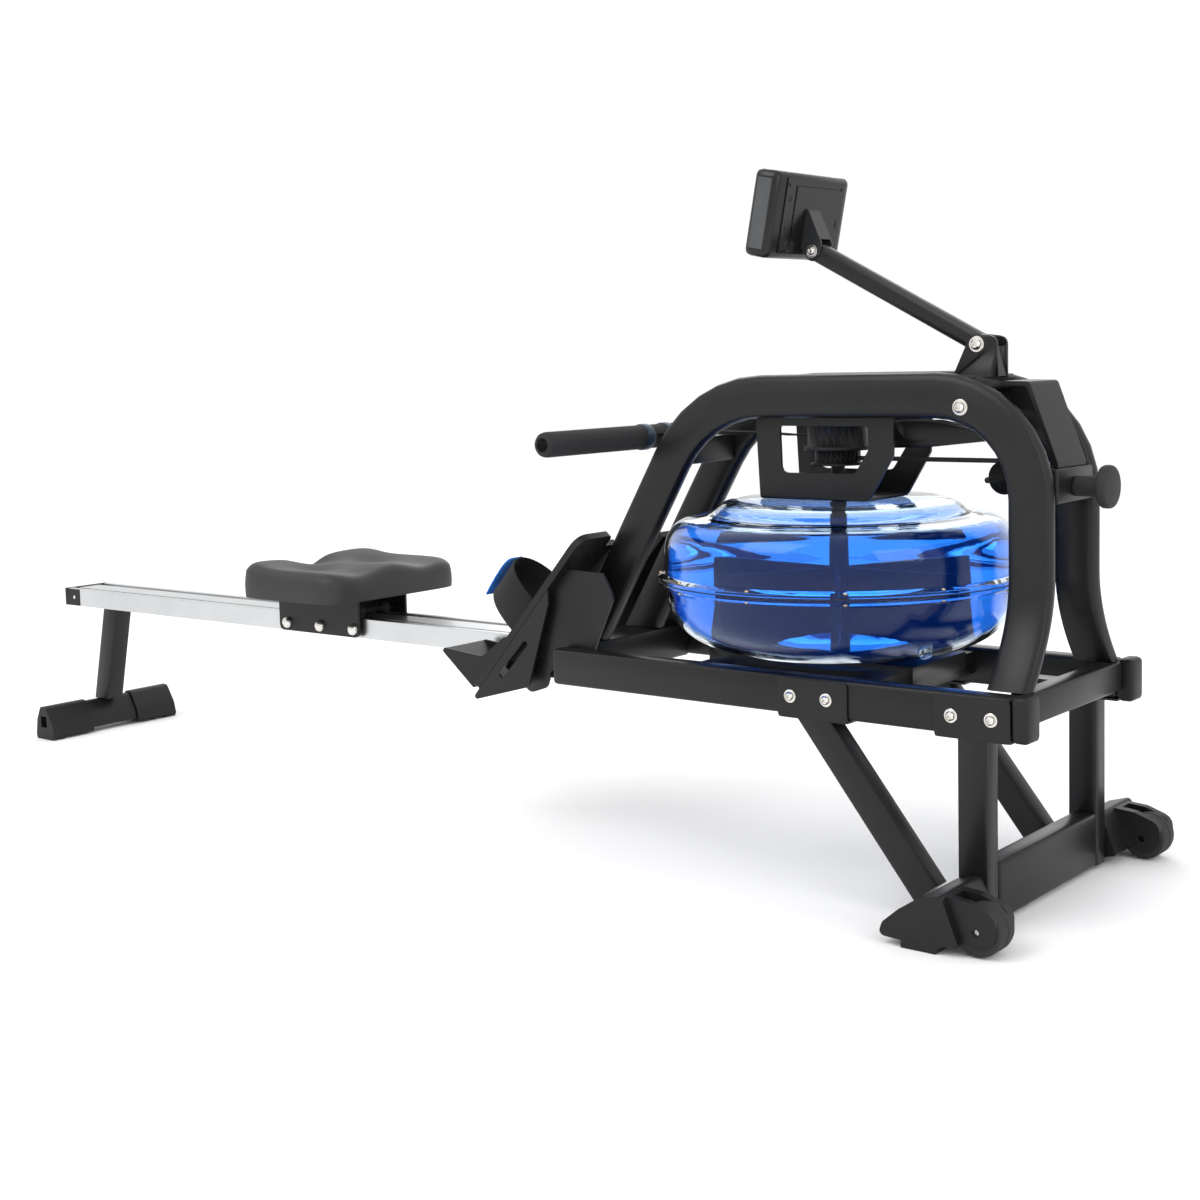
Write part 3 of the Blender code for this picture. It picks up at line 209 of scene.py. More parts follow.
def surface(
    name,
    colour,
    roughness,
    metallic=0.0,
    grain=900.0,
    stretch=(1, 1, 1),
    bump=0.15,
    depth=0.0002,
    mottle=0.25,
    spread=0.10,
    kind="noise",
    **sockets,
):
    """A material with a fine bump, a slow change of colour and a slow change of roughness.

    grain is the bump's scale per metre, mottle how far the colour moves, and spread how far the
    roughness does. kind is "noise" or "cells".
    """
    made = plain(name, colour, roughness, metallic)
    tree = made.node_tree
    nodes, links = tree.nodes, tree.links
    shader = nodes["Principled BSDF"]
    for socket, value in sockets.items():
        shader.inputs[socket.replace("_", " ")].default_value = value
    place = nodes.new("ShaderNodeTexCoord").outputs["Object"]
    mapping = nodes.new("ShaderNodeMapping")
    mapping.inputs["Scale"].default_value = stretch
    links.new(place, mapping.inputs["Vector"])
    if kind == "cells":
        fine = nodes.new("ShaderNodeTexVoronoi")
        fine.inputs["Scale"].default_value = grain
        links.new(mapping.outputs["Vector"], fine.inputs["Vector"])
        height = fine.outputs["Distance"]
    else:
        height = noise(made, mapping.outputs["Vector"], grain, FINE_DETAIL)
    bumped(made, height, bump, depth)
    slow = noise(made, place, SLOW_SCALE, SLOW_DETAIL)
    rough = nodes.new("ShaderNodeMapRange")
    rough.inputs["To Min"].default_value = max(roughness - spread, SMOOTHEST)
    rough.inputs["To Max"].default_value = min(roughness + spread, 1)
    links.new(slow, rough.inputs["Value"])
    links.new(rough.outputs["Result"], shader.inputs["Roughness"])
    both = nodes.new("ShaderNodeMixRGB")
    both.inputs["Fac"].default_value = GRAIN_SHARE
    links.new(slow, both.inputs["Color1"])
    links.new(height, both.inputs["Color2"])
    ramp = nodes.new("ShaderNodeValToRGB")
    for stop, end, share in zip(ramp.color_ramp.elements, RAMP_ENDS, (1 - mottle, 1 + mottle)):
        stop.position = end
        stop.color = (*(min(c * share, 1) for c in colour), 1)
    links.new(both.outputs["Color"], ramp.inputs["Fac"])
    links.new(ramp.outputs["Color"], shader.inputs["Base Color"])
    return made


def woven(name, colour):
    """Webbing: two crossed sets of threads that raise the surface."""
    made = surface(name, colour, 0.75, grain=2500, bump=0.2, mottle=0.2)
    nodes, links = made.node_tree.nodes, made.node_tree.links
    shader = nodes["Principled BSDF"]
    shader.inputs["Sheen Weight"].default_value = 0.06
    shader.inputs["Specular IOR Level"].default_value = 0.25
    place = nodes.new("ShaderNodeTexCoord")
    crossed = nodes.new("ShaderNodeMath")
    crossed.operation = "ADD"
    for socket, way in enumerate(("X", "Y")):
        wave = nodes.new("ShaderNodeTexWave")
        wave.bands_direction = way
        wave.inputs["Scale"].default_value = 1 / THREAD / THREAD_WAVES
        wave.inputs["Distortion"].default_value = 0.4
        links.new(place.outputs["Object"], wave.inputs["Vector"])
        links.new(wave.outputs["Fac"], crossed.inputs[socket])
    bumped(made, crossed.outputs["Value"], 0.5, 0.0004)
    return made


def clear(name, colour, ior, roughness, glow=(0, 0, 0), glow_strength=0.0):
    """A see-through plastic or liquid with slow ripples in its surface, and an emitted glow of
    painted light where glow_strength is set.
    """
    made = plain(name, colour, roughness)
    nodes = made.node_tree.nodes
    shader = nodes["Principled BSDF"]
    shader.inputs["Transmission Weight"].default_value = 1.0
    shader.inputs["IOR"].default_value = ior
    if glow_strength:
        shader.inputs["Emission Color"].default_value = (*glow, 1)
        shader.inputs["Emission Strength"].default_value = glow_strength
    place = nodes.new("ShaderNodeTexCoord").outputs["Object"]
    bumped(made, noise(made, place, RIPPLE_SCALE, RIPPLE_DETAIL), RIPPLE_STRENGTH, RIPPLE_DEPTH)
    return made


STEEL = surface(
    "powder_coat", (0.0085, 0.0085, 0.0088), 0.36,
    grain=1400, bump=0.22, depth=0.00015, Specular_IOR_Level=0.30,
)
PLASTIC = surface(
    "moulded_plastic", (0.0075, 0.0075, 0.0080), 0.46,
    grain=1500, bump=0.25, kind="cells", Specular_IOR_Level=0.30,
)
CONSOLE_BLACK = surface(
    "console_plastic", (0.0060, 0.0060, 0.0065), 0.27,
    grain=2600, bump=0.10, kind="cells", Specular_IOR_Level=0.35,
)
# A lighter grey: painted highlight on the console's lit side faces, and also the display's segments.
LIT_SIDE_AND_SEGMENT_GREY = surface(
    "console_highlight_and_segments", (0.060, 0.062, 0.065), 0.36,
    grain=2600, bump=0.10, kind="cells", Specular_IOR_Level=0.40,
)
NECK_GREY = surface(
    "neck_grey", (0.022, 0.023, 0.025), 0.34, grain=2200, bump=0.12, Specular_IOR_Level=0.40
)
ALUMINIUM = surface(
    "brushed_aluminium", (0.60, 0.61, 0.62), 0.30, 1.0,
    grain=60, stretch=(0.5, 45, 45), bump=0.20, depth=0.00012, mottle=0.08, spread=0.05,
)
BRIGHT = surface(
    "zinc_plate", (0.72, 0.70, 0.66), 0.24, 1.0, grain=700, bump=0.10, mottle=0.10
)
BRASS = surface(
    "brass_screw", (0.55, 0.43, 0.26), 0.28, 1.0, grain=700, bump=0.10, mottle=0.10
)
RUBBER = surface("rubber", (0.012, 0.012, 0.012), 0.72, grain=1100, bump=0.3)
FOAM = surface(
    "foam_grip", (0.014, 0.014, 0.016), 0.85, grain=2200, bump=0.7, depth=0.0004, kind="cells"
)
COLLAR = surface("handle_collar", (0.010, 0.030, 0.065), 0.45, grain=1500, bump=0.2)
SEAT_SKIN = surface(
    "seat_skin", (0.0155, 0.0158, 0.0165), 0.52,
    grain=1000, bump=0.35, depth=0.0003, kind="cells",
)
WEBBING = woven("webbing", (0.0065, 0.0065, 0.0070))
BLUE_TAB = woven("blue_tab", (0.01, 0.16, 0.62))
# The real materials refract more. These let the blue through as the photograph shows it.
TANK = clear("clear_tank", (0.78, 0.90, 1.0), 1.26, 0.010)
# The water's emission is painted light: a faint blue glow that brightens it, though it gives out no
# light of its own.
WATER = clear("blue_water", (0.035, 0.25, 0.82), 1.16, 0.0, (0.001, 0.035, 0.30), 0.22)
SCREEN = surface(
    "screen_glass", (0.020, 0.028, 0.026), 0.08, grain=400, bump=0.02, mottle=0.3, spread=0.03
)
# Near-black painted shade, for hollows on the console's back that are not cut in.
PAINTED_HOLLOW_SHADE = surface("recess", (0.004, 0.004, 0.004), 0.7, grain=900)

SLOT_LOOK = {
    "frame_paint": STEEL,
    "black_plastic": PLASTIC,
    "aluminium": ALUMINIUM,
    "rubber": RUBBER,
    "foam_grip": FOAM,
    "seat_skin": SEAT_SKIN,
    "clear_tank": TANK,
    "blue_water": WATER,
    "webbing": WEBBING,
    "screen_glass": SCREEN,
}
NODE_SLOT = {s["node"]: s["material_slot"] for s in frame["record"]["subparts"]}
NODE_BODY = {
    node: body for body, nodes in frame["record"]["behaviour"]["bodies"].items() for node in nodes
}


# ---------------------------------------------------------------- mesh helpers

UPRIGHT = (0, 0, 1)
ACROSS = (0, 1, 0)
WELD = 1e-5  # CAD points closer than this are one
FLAT_ANGLE = math.radians(0.6)  # faces this close to one plane are merged
EDGE_ROUND = 0.0008  # how far the CAD nodes' edges are softened
EDGE_ANGLE = math.radians(38)


def from_bmesh(name, mesh, look, angle=35):
    """An object of a mesh, smooth except at edges sharper than the angle."""
    bmesh.ops.recalc_face_normals(mesh, faces=mesh.faces)
    data = bpy.data.meshes.new(name)
    mesh.to_mesh(data)
    mesh.free()
    obj = bpy.data.objects.new(name, data)
    bpy.context.scene.collection.objects.link(obj)
    data.materials.append(look)
    data.shade_smooth()
    data.set_sharp_from_angle(angle=math.radians(angle))
    return obj


def finish(obj, body):
    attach(obj, body)
    return obj


def axes_of(axis):
    """A matrix that takes +Z to the axis."""
    return Vector(axis).normalized().to_track_quat("Z", "Y").to_matrix().to_4x4()


def circle(mesh, radius, height, steps):
    """A ring of vertices round +Z, or one vertex where the radius is 0."""
    if radius < 1e-7:
        return [mesh.verts.new((0, 0, height))]
    turns = [2 * math.pi * i / steps for i in range(steps)]
    return [mesh.verts.new((radius * math.cos(t), radius * math.sin(t), height)) for t in turns]


def lathe(name, profile, place, axis, look, steps=40, angle=35):
    """A turned piece from (radius, height) points. Points at radius 0 close its ends."""
    mesh = bmesh.new()
    rings = [circle(mesh, r, h, steps) for r, h in profile]
    for a, b in zip(rings, rings[1:]):
        for i in range(steps):
            j = (i + 1) % steps
            corners = [a[i % len(a)], a[j % len(a)], b[j % len(b)], b[i % len(b)]]
            seen = list(dict.fromkeys(corners))
            if len(seen) > 2:
                mesh.faces.new(seen)
    mesh.transform(Matrix.Translation(place) @ axes_of(axis))
    return from_bmesh(name, mesh, look, angle)


def closed_lathe(name, profile, place, look, steps=128, angle=30):
    """A turned piece whose outline is a closed loop, round the vertical axis."""
    mesh = bmesh.new()
    rings = [circle(mesh, r, h, steps) for r, h in profile]
    for a, b in zip(rings, rings[1:] + rings[:1]):
        for i in range(steps):
            j = (i + 1) % steps
            mesh.faces.new((a[i], a[j], b[j], b[i]))
    mesh.transform(Matrix.Translation(place))
    return from_bmesh(name, mesh, look, angle)


def block(name, low, high, look, round_by=0.001, turn=None):
    """A box with rounded edges between two corners, turned by a matrix if one is given."""
    mesh = bmesh.new()
    bmesh.ops.create_cube(mesh, size=1)
    size = Vector(high) - Vector(low)
    bmesh.ops.scale(mesh, vec=size, verts=mesh.verts)
    bmesh.ops.translate(mesh, vec=(Vector(high) + Vector(low)) / 2, verts=mesh.verts)
    bmesh.ops.bevel(
        mesh, geom=mesh.edges[:], offset=min(round_by, min(size) * 0.45), segments=2, affect="EDGES"
    )
    if turn:
        mesh.transform(turn)
    return from_bmesh(name, mesh, look, 50)


def refined(node, look, round_by, angle):
    """A CAD node carried over, welded, and with softened edges where round_by says so."""
    source = frame["nodes"][node]
    mesh = bmesh.new()
    mesh.from_mesh(source.data)
    bmesh.ops.remove_doubles(mesh, verts=mesh.verts, dist=WELD)
    if round_by:
        bmesh.ops.dissolve_limit(mesh, angle_limit=FLAT_ANGLE, verts=mesh.verts, edges=mesh.edges)
    obj = from_bmesh(f"{node}_shape", mesh, look, angle)
    if round_by:
        edge = obj.modifiers.new("edge", "BEVEL")
        edge.width = round_by
        edge.segments = 2
        edge.limit_method = "ANGLE"
        edge.angle_limit = EDGE_ANGLE
        edge.use_clamp_overlap = True
        edge.harden_normals = True
    finish(obj, NODE_BODY[node])
    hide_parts(node)


def rounded(corners, steps=6):
    """The points of a closed outline from (x, y, radius) corners."""
    made = []
    for i, (x, y, radius) in enumerate(corners):
        here = Vector((x, y))
        before = (Vector(corners[i - 1][:2]) - here).normalized()
        after = (Vector(corners[(i + 1) % len(corners)][:2]) - here).normalized()
        reach = radius / math.tan(before.angle(after) / 2)
        start, end = here + before * reach, here + after * reach
        for k in range(steps + 1):
            t = k / steps
            made.append(tuple(start * (1 - t) ** 2 + here * 2 * t * (1 - t) + end * t * t))
    return made


def curve(points, steps):
    """Points of a smooth curve through the given ones, so many steps from each to the next."""
    points = [Vector(p) for p in points]
    last = len(points) - 1
    made = []
    for i in range(last):
        a, b, c, d = (points[k] for k in (max(i - 1, 0), i, i + 1, min(i + 2, last)))
        slope, bend, twist = c - a, 2 * a - 5 * b + 4 * c - d, 3 * b - a - 3 * c + d
        for s in range(steps):
            t = s / steps
            made.append(0.5 * (2 * b + slope * t + bend * t * t + twist * t * t * t))
    made.append(points[-1])
    return made


def smooth_path(points):
    """A finer list of (radius, height) points, for turned profiles."""
    return [(p.x, p.y) for p in curve(points, 4)]


def strip(name, path, width, thickness, look, across, steps):
    """A flat strap along a path, with smooth bends and rounded edges."""
    fine = curve(path, steps)
    side = Vector(across).normalized()
    mesh = bmesh.new()
    rings = []
    half_w, half_t = width / 2, thickness / 2
    section = (
        (-half_w, -half_t * 0.4), (-half_w, half_t * 0.4), (-half_w * 0.96, half_t),
        (0, half_t * 1.02), (half_w * 0.96, half_t), (half_w, half_t * 0.4),
        (half_w, -half_t * 0.4), (half_w * 0.96, -half_t), (0, -half_t * 1.02),
        (-half_w * 0.96, -half_t),
    )
    for i, p in enumerate(fine):
        along = (fine[min(i + 1, len(fine) - 1)] - fine[max(i - 1, 0)]).normalized()
        up = side.cross(along).normalized()
        rings.append([mesh.verts.new(p + side * w + up * t) for w, t in section])
    for a, b in zip(rings, rings[1:]):
        for i in range(len(section)):
            j = (i + 1) % len(section)
            mesh.faces.new((a[i], a[j], b[j], b[i]))
    mesh.faces.new(rings[0])
    mesh.faces.new(rings[-1][::-1])
    return from_bmesh(name, mesh, look, 50)


# ---------------------------------------------------------------- fasteners

WASHER_THICK = 0.0012
SADDLE_BOLTS = ((0.676, 0.253), (0.728, 0.253), (0.898, 0.252), (0.949, 0.252))
HOOP_BOLT = (0.865, 0.608)
CARRIAGE_NUTS = ((-0.385, 0.2515), (-0.306, 0.2515), (-0.228, 0.2515))
FLANGE_SCREWS = 12
FLANGE_SCREW_OUT = 0.2358  # from the tank's middle
FLANGE_SCREW_TURN = 3  # degrees the first screw is turned from +X


def bolt(name, place, axis, radius, body, look=BRIGHT, washer=True, socket=True, rise=None):
    """A round-headed bolt, with a washer under it and a socket in its head unless told otherwise.

    place is on the surface. radius is the washer's, or the head's where there is no washer.
    """
    rise = rise or radius * 0.55
    base = WASHER_THICK if washer else 0.0
    head = radius * (0.70 if washer else 1.0)
    profile = [(0, 0)]
    if washer:
        profile += [(radius, 0), (radius, base * 0.7), (radius * 0.95, base)]
    profile += [(head, base), (head, base + rise * 0.35), (head * 0.86, base + rise * 0.75)]
    profile += [(head * 0.62, base + rise)]
    if socket:
        profile += [(head * 0.46, base + rise), (head * 0.44, base + rise * 0.35)]
        profile += [(0, base + rise * 0.30)]
    else:
        profile += [(head * 0.3, base + rise * 1.12), (0, base + rise * 1.16)]
    return finish(lathe(name, profile, place, axis, look, 30, 30), body)


def both_sides(name, spots, y, radius, body, **options):
    """The same bolt at each (x, z) on both sides of the machine."""
    for side, sign in SIDES:
        for i, (x, z) in enumerate(spots):
            bolt(f"{name}_{side}_{i + 1}", (x, sign * y, z), (0, sign, 0), radius, body, **options)


def fasteners():
    both_sides("saddle_bolt", SADDLE_BOLTS, 0.1684, 0.0085, "frame")
    both_sides("hoop_bolt", (HOOP_BOLT,), 0.0771, 0.0100, "frame")
    both_sides(
        "carriage_nut", CARRIAGE_NUTS, 0.0551, 0.0094, "seat",
        washer=False, socket=False, rise=0.0080,
    )
    for i in range(FLANGE_SCREWS):
        turn = math.radians(360 / FLANGE_SCREWS * i + FLANGE_SCREW_TURN)
        x = TANK_X + FLANGE_SCREW_OUT * math.cos(turn)
        y = FLANGE_SCREW_OUT * math.sin(turn)
        for end, z, way in (("head", TANK_SEAM_Z + 0.006, 1), ("nut", TANK_SEAM_Z - 0.006, -1)):
            bolt(
                f"flange_{end}_{i + 1}", (x, y, z), (0, 0, way), 0.0026, "frame",
                look=BRASS, washer=False, rise=0.0022,
            )


# ---------------------------------------------------------------- pieces

MADE_ANEW = {  # nodes that a function below builds in their place
    "seat_pad", "handle", "drive_strap", "foot_strap_right", "foot_strap_left",
    "tank_lower", "tank_upper", "tank_gasket", "water", "transport_wheel_right",
    "transport_wheel_left", "console_screen", "footplate_right", "footplate_left",
}
SOFT_EDGED = {  # bent or rounded tubes, smooth over wider angles
    "console_arm", "hoop_right", "hoop_left", "rear_post", "stand_leg_right", "stand_leg_left",
}
EDGES_KEPT = {  # sheet-metal and round pieces, whose edges stay as the CAD has them
    "footrest_bracket_right", "footrest_bracket_left", "drive_bracket", "tank_cradle",
    "console_bracket", "seat_carriage", "seat_roller_front", "seat_roller_rear",
    "strap_roller", "cord_pulley", "strap_drum", "return_cord",
}
OWN_LOOK = {"console_case": CONSOLE_BLACK, "console_neck": NECK_GREY}


def carried_over():
    for node in sorted(frame["nodes"]):
        if node not in MADE_ANEW:
            look = OWN_LOOK.get(node) or SLOT_LOOK[NODE_SLOT[node]]
            round_by = 0.0 if node in EDGES_KEPT else EDGE_ROUND
            refined(node, look, round_by, 55 if node in SOFT_EDGED else 32)


def tank():
    """The clear tank in two shells, its seal, the water and the drain plug, all turned finely."""
    centre = (TANK_X, 0, 0)
    radius, seam, hole = 0.231, TANK_SEAM_Z, 0.012
    floor_z, floor_top = 0.2845, 0.2885
    roof_z, roof_under = 0.487, 0.483
    half_gap = 0.0008  # between the shells, for the seal
    flange = (0.0045, 0.006)  # how far its rim and its corner stand from the seam

    shell = [(0.239, seam - half_gap), (0.239, seam - flange[0]), (0.2375, seam - flange[1])]
    shell += [(0.230, seam - 0.009)]
    shell += smooth_path(
        [(0.228, 0.372), (0.2275, 0.358), (0.222, 0.337), (0.208, 0.318), (0.184, 0.3025),
         (0.152, 0.2915), (0.110, floor_z)]
    )
    shell += [(hole, floor_z), (hole, floor_top)]
    shell += smooth_path(
        [(0.108, floor_top), (0.150, 0.2955), (0.182, 0.3065), (0.205, 0.3210), (0.2185, 0.339),
         (0.2240, 0.359), (0.2260, 0.375)]
    )
    shell += [(0.226, seam - half_gap)]
    lower = closed_lathe("tank_lower_shell", shell, centre, TANK)
    finish(lower, "frame")
    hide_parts("tank_lower")

    shell = [(hole, roof_z), (0.132, roof_z)]
    shell += smooth_path([(0.134, 0.4869), (0.150, 0.4835), (0.163, 0.4740), (0.174, 0.4670)])
    shell += smooth_path(
        [(0.190, 0.4650), (0.204, 0.4620), (0.217, 0.4540), (0.226, 0.4410), (0.2303, 0.4240),
         (radius, 0.4000), (radius, seam + 0.009)]
    )
    shell += [(0.2375, seam + flange[1]), (0.239, seam + flange[0]), (0.239, seam + half_gap)]
    shell += [(0.227, seam + half_gap)]
    shell += smooth_path(
        [(0.227, 0.4000), (0.2263, 0.4232), (0.2222, 0.4390), (0.2140, 0.4510), (0.2025, 0.4580),
         (0.1892, 0.4610), (0.1725, 0.4630)]
    )
    shell += smooth_path([(0.161, 0.4700), (0.1488, 0.4797), (0.132, roof_under)])
    shell += [(hole, roof_under)]
    upper = closed_lathe("tank_upper_shell", shell, centre, TANK)
    finish(upper, "frame")
    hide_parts("tank_upper")

    half = 0.0005
    ring = [(0.2385, seam + half), (0.2385, seam - half), (0.2262, seam - half)]
    ring += [(0.2262, seam + half)]
    gasket = closed_lathe("tank_seal", ring, centre, RUBBER)
    finish(gasket, "frame")
    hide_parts("tank_gasket")

    top, bottom = 0.4565, 0.2900
    side = smooth_path(
        [(0.2005, top), (0.2125, 0.4495), (0.2206, 0.4380), (0.2246, 0.4230), (0.2255, 0.4000),
         (0.2245, 0.375), (0.2225, 0.3600), (0.2165, 0.3400), (0.2035, 0.3226), (0.1810, 0.3082),
         (0.1495, 0.2972), (0.108, bottom)]
    )
    body = [(0, top)] + side + [(0, bottom)]
    water = lathe("water_body", body, centre, UPRIGHT, WATER, 128, 30)
    finish(water, "frame")
    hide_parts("water")

    plug = [(0, -0.004), (0.0085, -0.004), (0.0085, 0.002), (0.0070, 0.0035)]
    plug += [(0.0070, 0.0060), (0.0055, 0.0072), (0, 0.0072)]
    turn = math.radians(-27)
    way = Vector((math.cos(turn), math.sin(turn), -1.6)).normalized()
    spot = (TANK_X + 0.196 * math.cos(turn), 0.196 * math.sin(turn), 0.3085)
    finish(lathe("drain_plug", plug, spot, way, TANK, 28), "frame")


def squircle(u, v, power=7):
    """Where a point of a square grid from -1 to 1 goes when the square's corners are rounded."""
    length = math.hypot(u, v)
    if not length:
        return 0.0, 0.0
    edge = 1 / ((abs(u) / length) ** power + (abs(v) / length) ** power) ** (1 / power)
    share = edge * max(abs(u), abs(v)) / length
    return u * share, v * share


def mound(height, *spans):
    """A smooth hill, or a hollow if the height is below 0, that fades over each (offset, reach)."""
    return height * math.exp(-sum((offset / reach) ** 2 for offset, reach in spans))


def crown(u, v):
    """The height of the seat's top at a place from -1 to 1 along, front at 1, and across."""
    hollow = mound(-0.012, (u + 0.15, 0.5), (abs(v) - 0.42, 0.28))
    notch = mound(-0.013, (u + 1, 0.5), (v, 0.22))
    thigh = mound(-0.008, (u - 1, 0.5), (abs(v) - 0.5, 0.3))
    rear = mound(0.007, (u + 0.85, 0.35)) * (1 - mound(1, (v, 0.3)))
    crest = mound(0.004, (v, 0.25)) * max(u, 0)
    return 0.352 + hollow + notch + thigh + rear + crest


def seat():
    """The moulded seat: a rounded slab with two hollows, a notch behind and two dips in front."""
    low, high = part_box("seat_pad")
    middle = (low.x + high.x) / 2
    half_x, half_y = (high.x - low.x) / 2, (high.y - low.y) / 2
    across, along = 72, 56
    inset, lift = 0.985, 0.0004  # keep the pad inside its CAD box
    levels, bulge_by = 6, 0.010
    mesh = bmesh.new()
    top, under = {}, {}
    for j in range(across + 1):
        for i in range(along + 1):
            u, v = 2 * i / along - 1, 2 * j / across - 1
            a, b = squircle(u, v)
            edge = max(abs(u), abs(v))
            fall = 0.012 * max(0.0, (edge - 0.86) / 0.14) ** 2.4
            shrink = inset - 0.012 * max(0.0, (edge - 0.9) / 0.1)
            z = min(crown(a, b) - fall, high.z)
            top[i, j] = mesh.verts.new((middle + a * half_x * shrink, b * half_y * shrink, z))
            under[i, j] = mesh.verts.new(
                (middle + a * half_x * inset, b * half_y * inset, low.z + lift)
            )
    for j in range(across):
        for i in range(along):
            corners = ((i, j), (i + 1, j), (i + 1, j + 1), (i, j + 1))
            mesh.faces.new([top[c] for c in corners])
            mesh.faces.new([under[c] for c in reversed(corners)])
    rim = [(i, 0) for i in range(along)] + [(along, j) for j in range(across)]
    rim += [(i, across) for i in range(along, 0, -1)] + [(0, j) for j in range(across, 0, -1)]
    rings = {}
    for c in rim:
        column = [top[c]]
        for k in range(1, levels):
            share = k / levels
            bulge = 1 + bulge_by * math.sin(math.pi * share)
            p = top[c].co.lerp(under[c].co, share)
            column.append(mesh.verts.new((middle + (p.x - middle) * bulge, p.y * bulge, p.z)))
        rings[c] = column + [under[c]]
    for c, d in zip(rim, rim[1:] + rim[:1]):
        for k in range(levels):
            mesh.faces.new((rings[c][k + 1], rings[d][k + 1], rings[d][k], rings[c][k]))
    pad = from_bmesh("seat_moulding", mesh, SEAT_SKIN, 70)
    finish(pad, "seat")
    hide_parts("seat_pad")


def handle():
    """The foam grip with its hard collars, and the strap that runs back to the drum."""
    x, z, half = 0.344, 0.565, 0.242
    end = [(0, half), (0.0105, half), (0.0140, half - 0.0012), (0.0160, half - 0.0040)]
    end += [(0.0170, half - 0.0085)]
    body = [(0.0170, 0.034), (0.0168, 0.033)]
    grip = end + body + [(r, -h) for r, h in reversed(end + body)]
    foam = lathe("handle_grip", grip, (x, 0, z), ACROSS, FOAM, 48, 40)
    finish(foam, "handle_body")
    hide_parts("handle")
    ring = (
        (0, 0.0165), (0.0172, 0.0165), (0.0183, 0.0180), (0.0185, 0.0200),
        (0.0185, 0.0300), (0.0180, 0.0322), (0.0173, 0.0330), (0, 0.0330),
    )
    thin = 0.0003
    cap = ((0, 0.0), (0.0095, 0.0), (0.0095, thin), (0, thin))
    for side, sign in SIDES:
        profile = [(r, sign * h) for r, h in ring]
        piece = lathe(f"handle_collar_{side}", profile, (x, 0, z), ACROSS, COLLAR, 48)
        finish(piece, "handle_body")
        spot = (x, sign * (half - thin), z)
        disc = lathe(f"handle_end_{side}", cap, spot, (0, sign, 0), PLASTIC, 36)
        finish(disc, "handle_body")
    low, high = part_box("drive_strap")
    start, finish_x = low.x, high.x
    count = 48
    path = []
    for i in range(count + 1):
        t = i / count
        sag = 0.0034 * math.sin(math.pi * min(t * 1.15, 1)) ** 0.8
        path.append((start + (finish_x - start) * t, 0, 0.5690 + sag))
    strap = strip("pull_strap", path, 0.0235, 0.0016, WEBBING, ACROSS, 1)
    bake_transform(strap)
    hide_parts("drive_strap")


def wheels():
    """The transport wheels, each with a hub, a grooved tread and a bolt."""
    half = [
        (0, 0.0155), (0.006, 0.0155), (0.007, 0.0120), (0.0165, 0.0120), (0.0175, 0.0175),
        (0.0180, 0.0195), (0.0250, 0.0198), (0.0280, 0.0180), (0.0290, 0.0140),
        (0.0290, 0.0030), (0.0282, 0.0020),
    ]
    profile = half + [(r, -h) for r, h in reversed(half)]
    for side, sign in SIDES:
        spot = (WHEEL_X, sign * 0.236, WHEEL_Z)
        wheel = lathe(f"wheel_{side}", profile, spot, ACROSS, RUBBER, 56)
        finish(wheel, f"wheel_{side}_body")
        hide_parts(f"transport_wheel_{side}")
        bolt(
            f"wheel_bolt_{side}", (WHEEL_X, sign * 0.2516, WHEEL_Z), (0, sign, 0), 0.0055,
            f"wheel_{side}_body", washer=False, rise=0.0030,
        )


def foot_straps():
    """The webbing arch over each footplate, with a blue tab to pull it tight."""
    arch_along, arch_half, arch_high, arch_steps = 0.140, 0.0433, 0.0790, 18
    tab_route = (
        (0.168, 0.0838), (0.160, 0.0868), (0.148, 0.0884), (0.134, 0.0884),
        (0.120, 0.0878), (0.106, 0.0866), (0.094, 0.0850),
    )
    up_plate = (math.cos(FOOT_ANGLE), 0, math.sin(FOOT_ANGLE))
    for side, sign in SIDES:
        middle = sign * FOOT_MIDDLE_Y
        path = []
        for step in range(arch_steps + 1):
            angle = math.pi * step / arch_steps
            x, z = on_foot(arch_along, 0.0018 + arch_high * math.sin(angle) ** 0.8)
            path.append((x, middle + arch_half * math.cos(angle), z))
        arch = strip(f"foot_webbing_{side}", path, 0.062, 0.0022, WEBBING, up_plate, 3)
        finish(arch, "frame")
        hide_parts(f"foot_strap_{side}")
        points = []
        for along, up in tab_route:
            x, z = on_foot(along, up)
            points.append((x, middle + sign * 0.004, z))
        tab = strip(f"pull_tab_{side}", points, 0.026, 0.0022, BLUE_TAB, ACROSS, 4)
        finish(tab, "frame")


def flat_plate(outline, holes, thick):
    """The mesh of a plate with holes through it, from closed lists of points."""
    data = bpy.data.curves.new("plate_outline", "CURVE")
    data.dimensions = "2D"
    data.fill_mode = "BOTH"
    data.extrude = thick / 2
    for ring in [outline] + holes:
        spline = data.splines.new("POLY")
        spline.points.add(len(ring) - 1)
        for point, (a, c) in zip(spline.points, ring):
            point.co = (a, c, 0, 1)
        spline.use_cyclic_u = True
    shape = bpy.data.objects.new("plate_outline", data)
    bpy.context.scene.collection.objects.link(shape)
    bpy.context.view_layer.update()
    solid = shape.evaluated_get(bpy.context.evaluated_depsgraph_get())
    made = bpy.data.meshes.new_from_object(solid)
    bpy.data.objects.remove(shape, do_unlink=True)
    mesh = bmesh.new()
    mesh.from_mesh(made)
    bmesh.ops.remove_doubles(mesh, verts=mesh.verts, dist=1e-6)
    return mesh


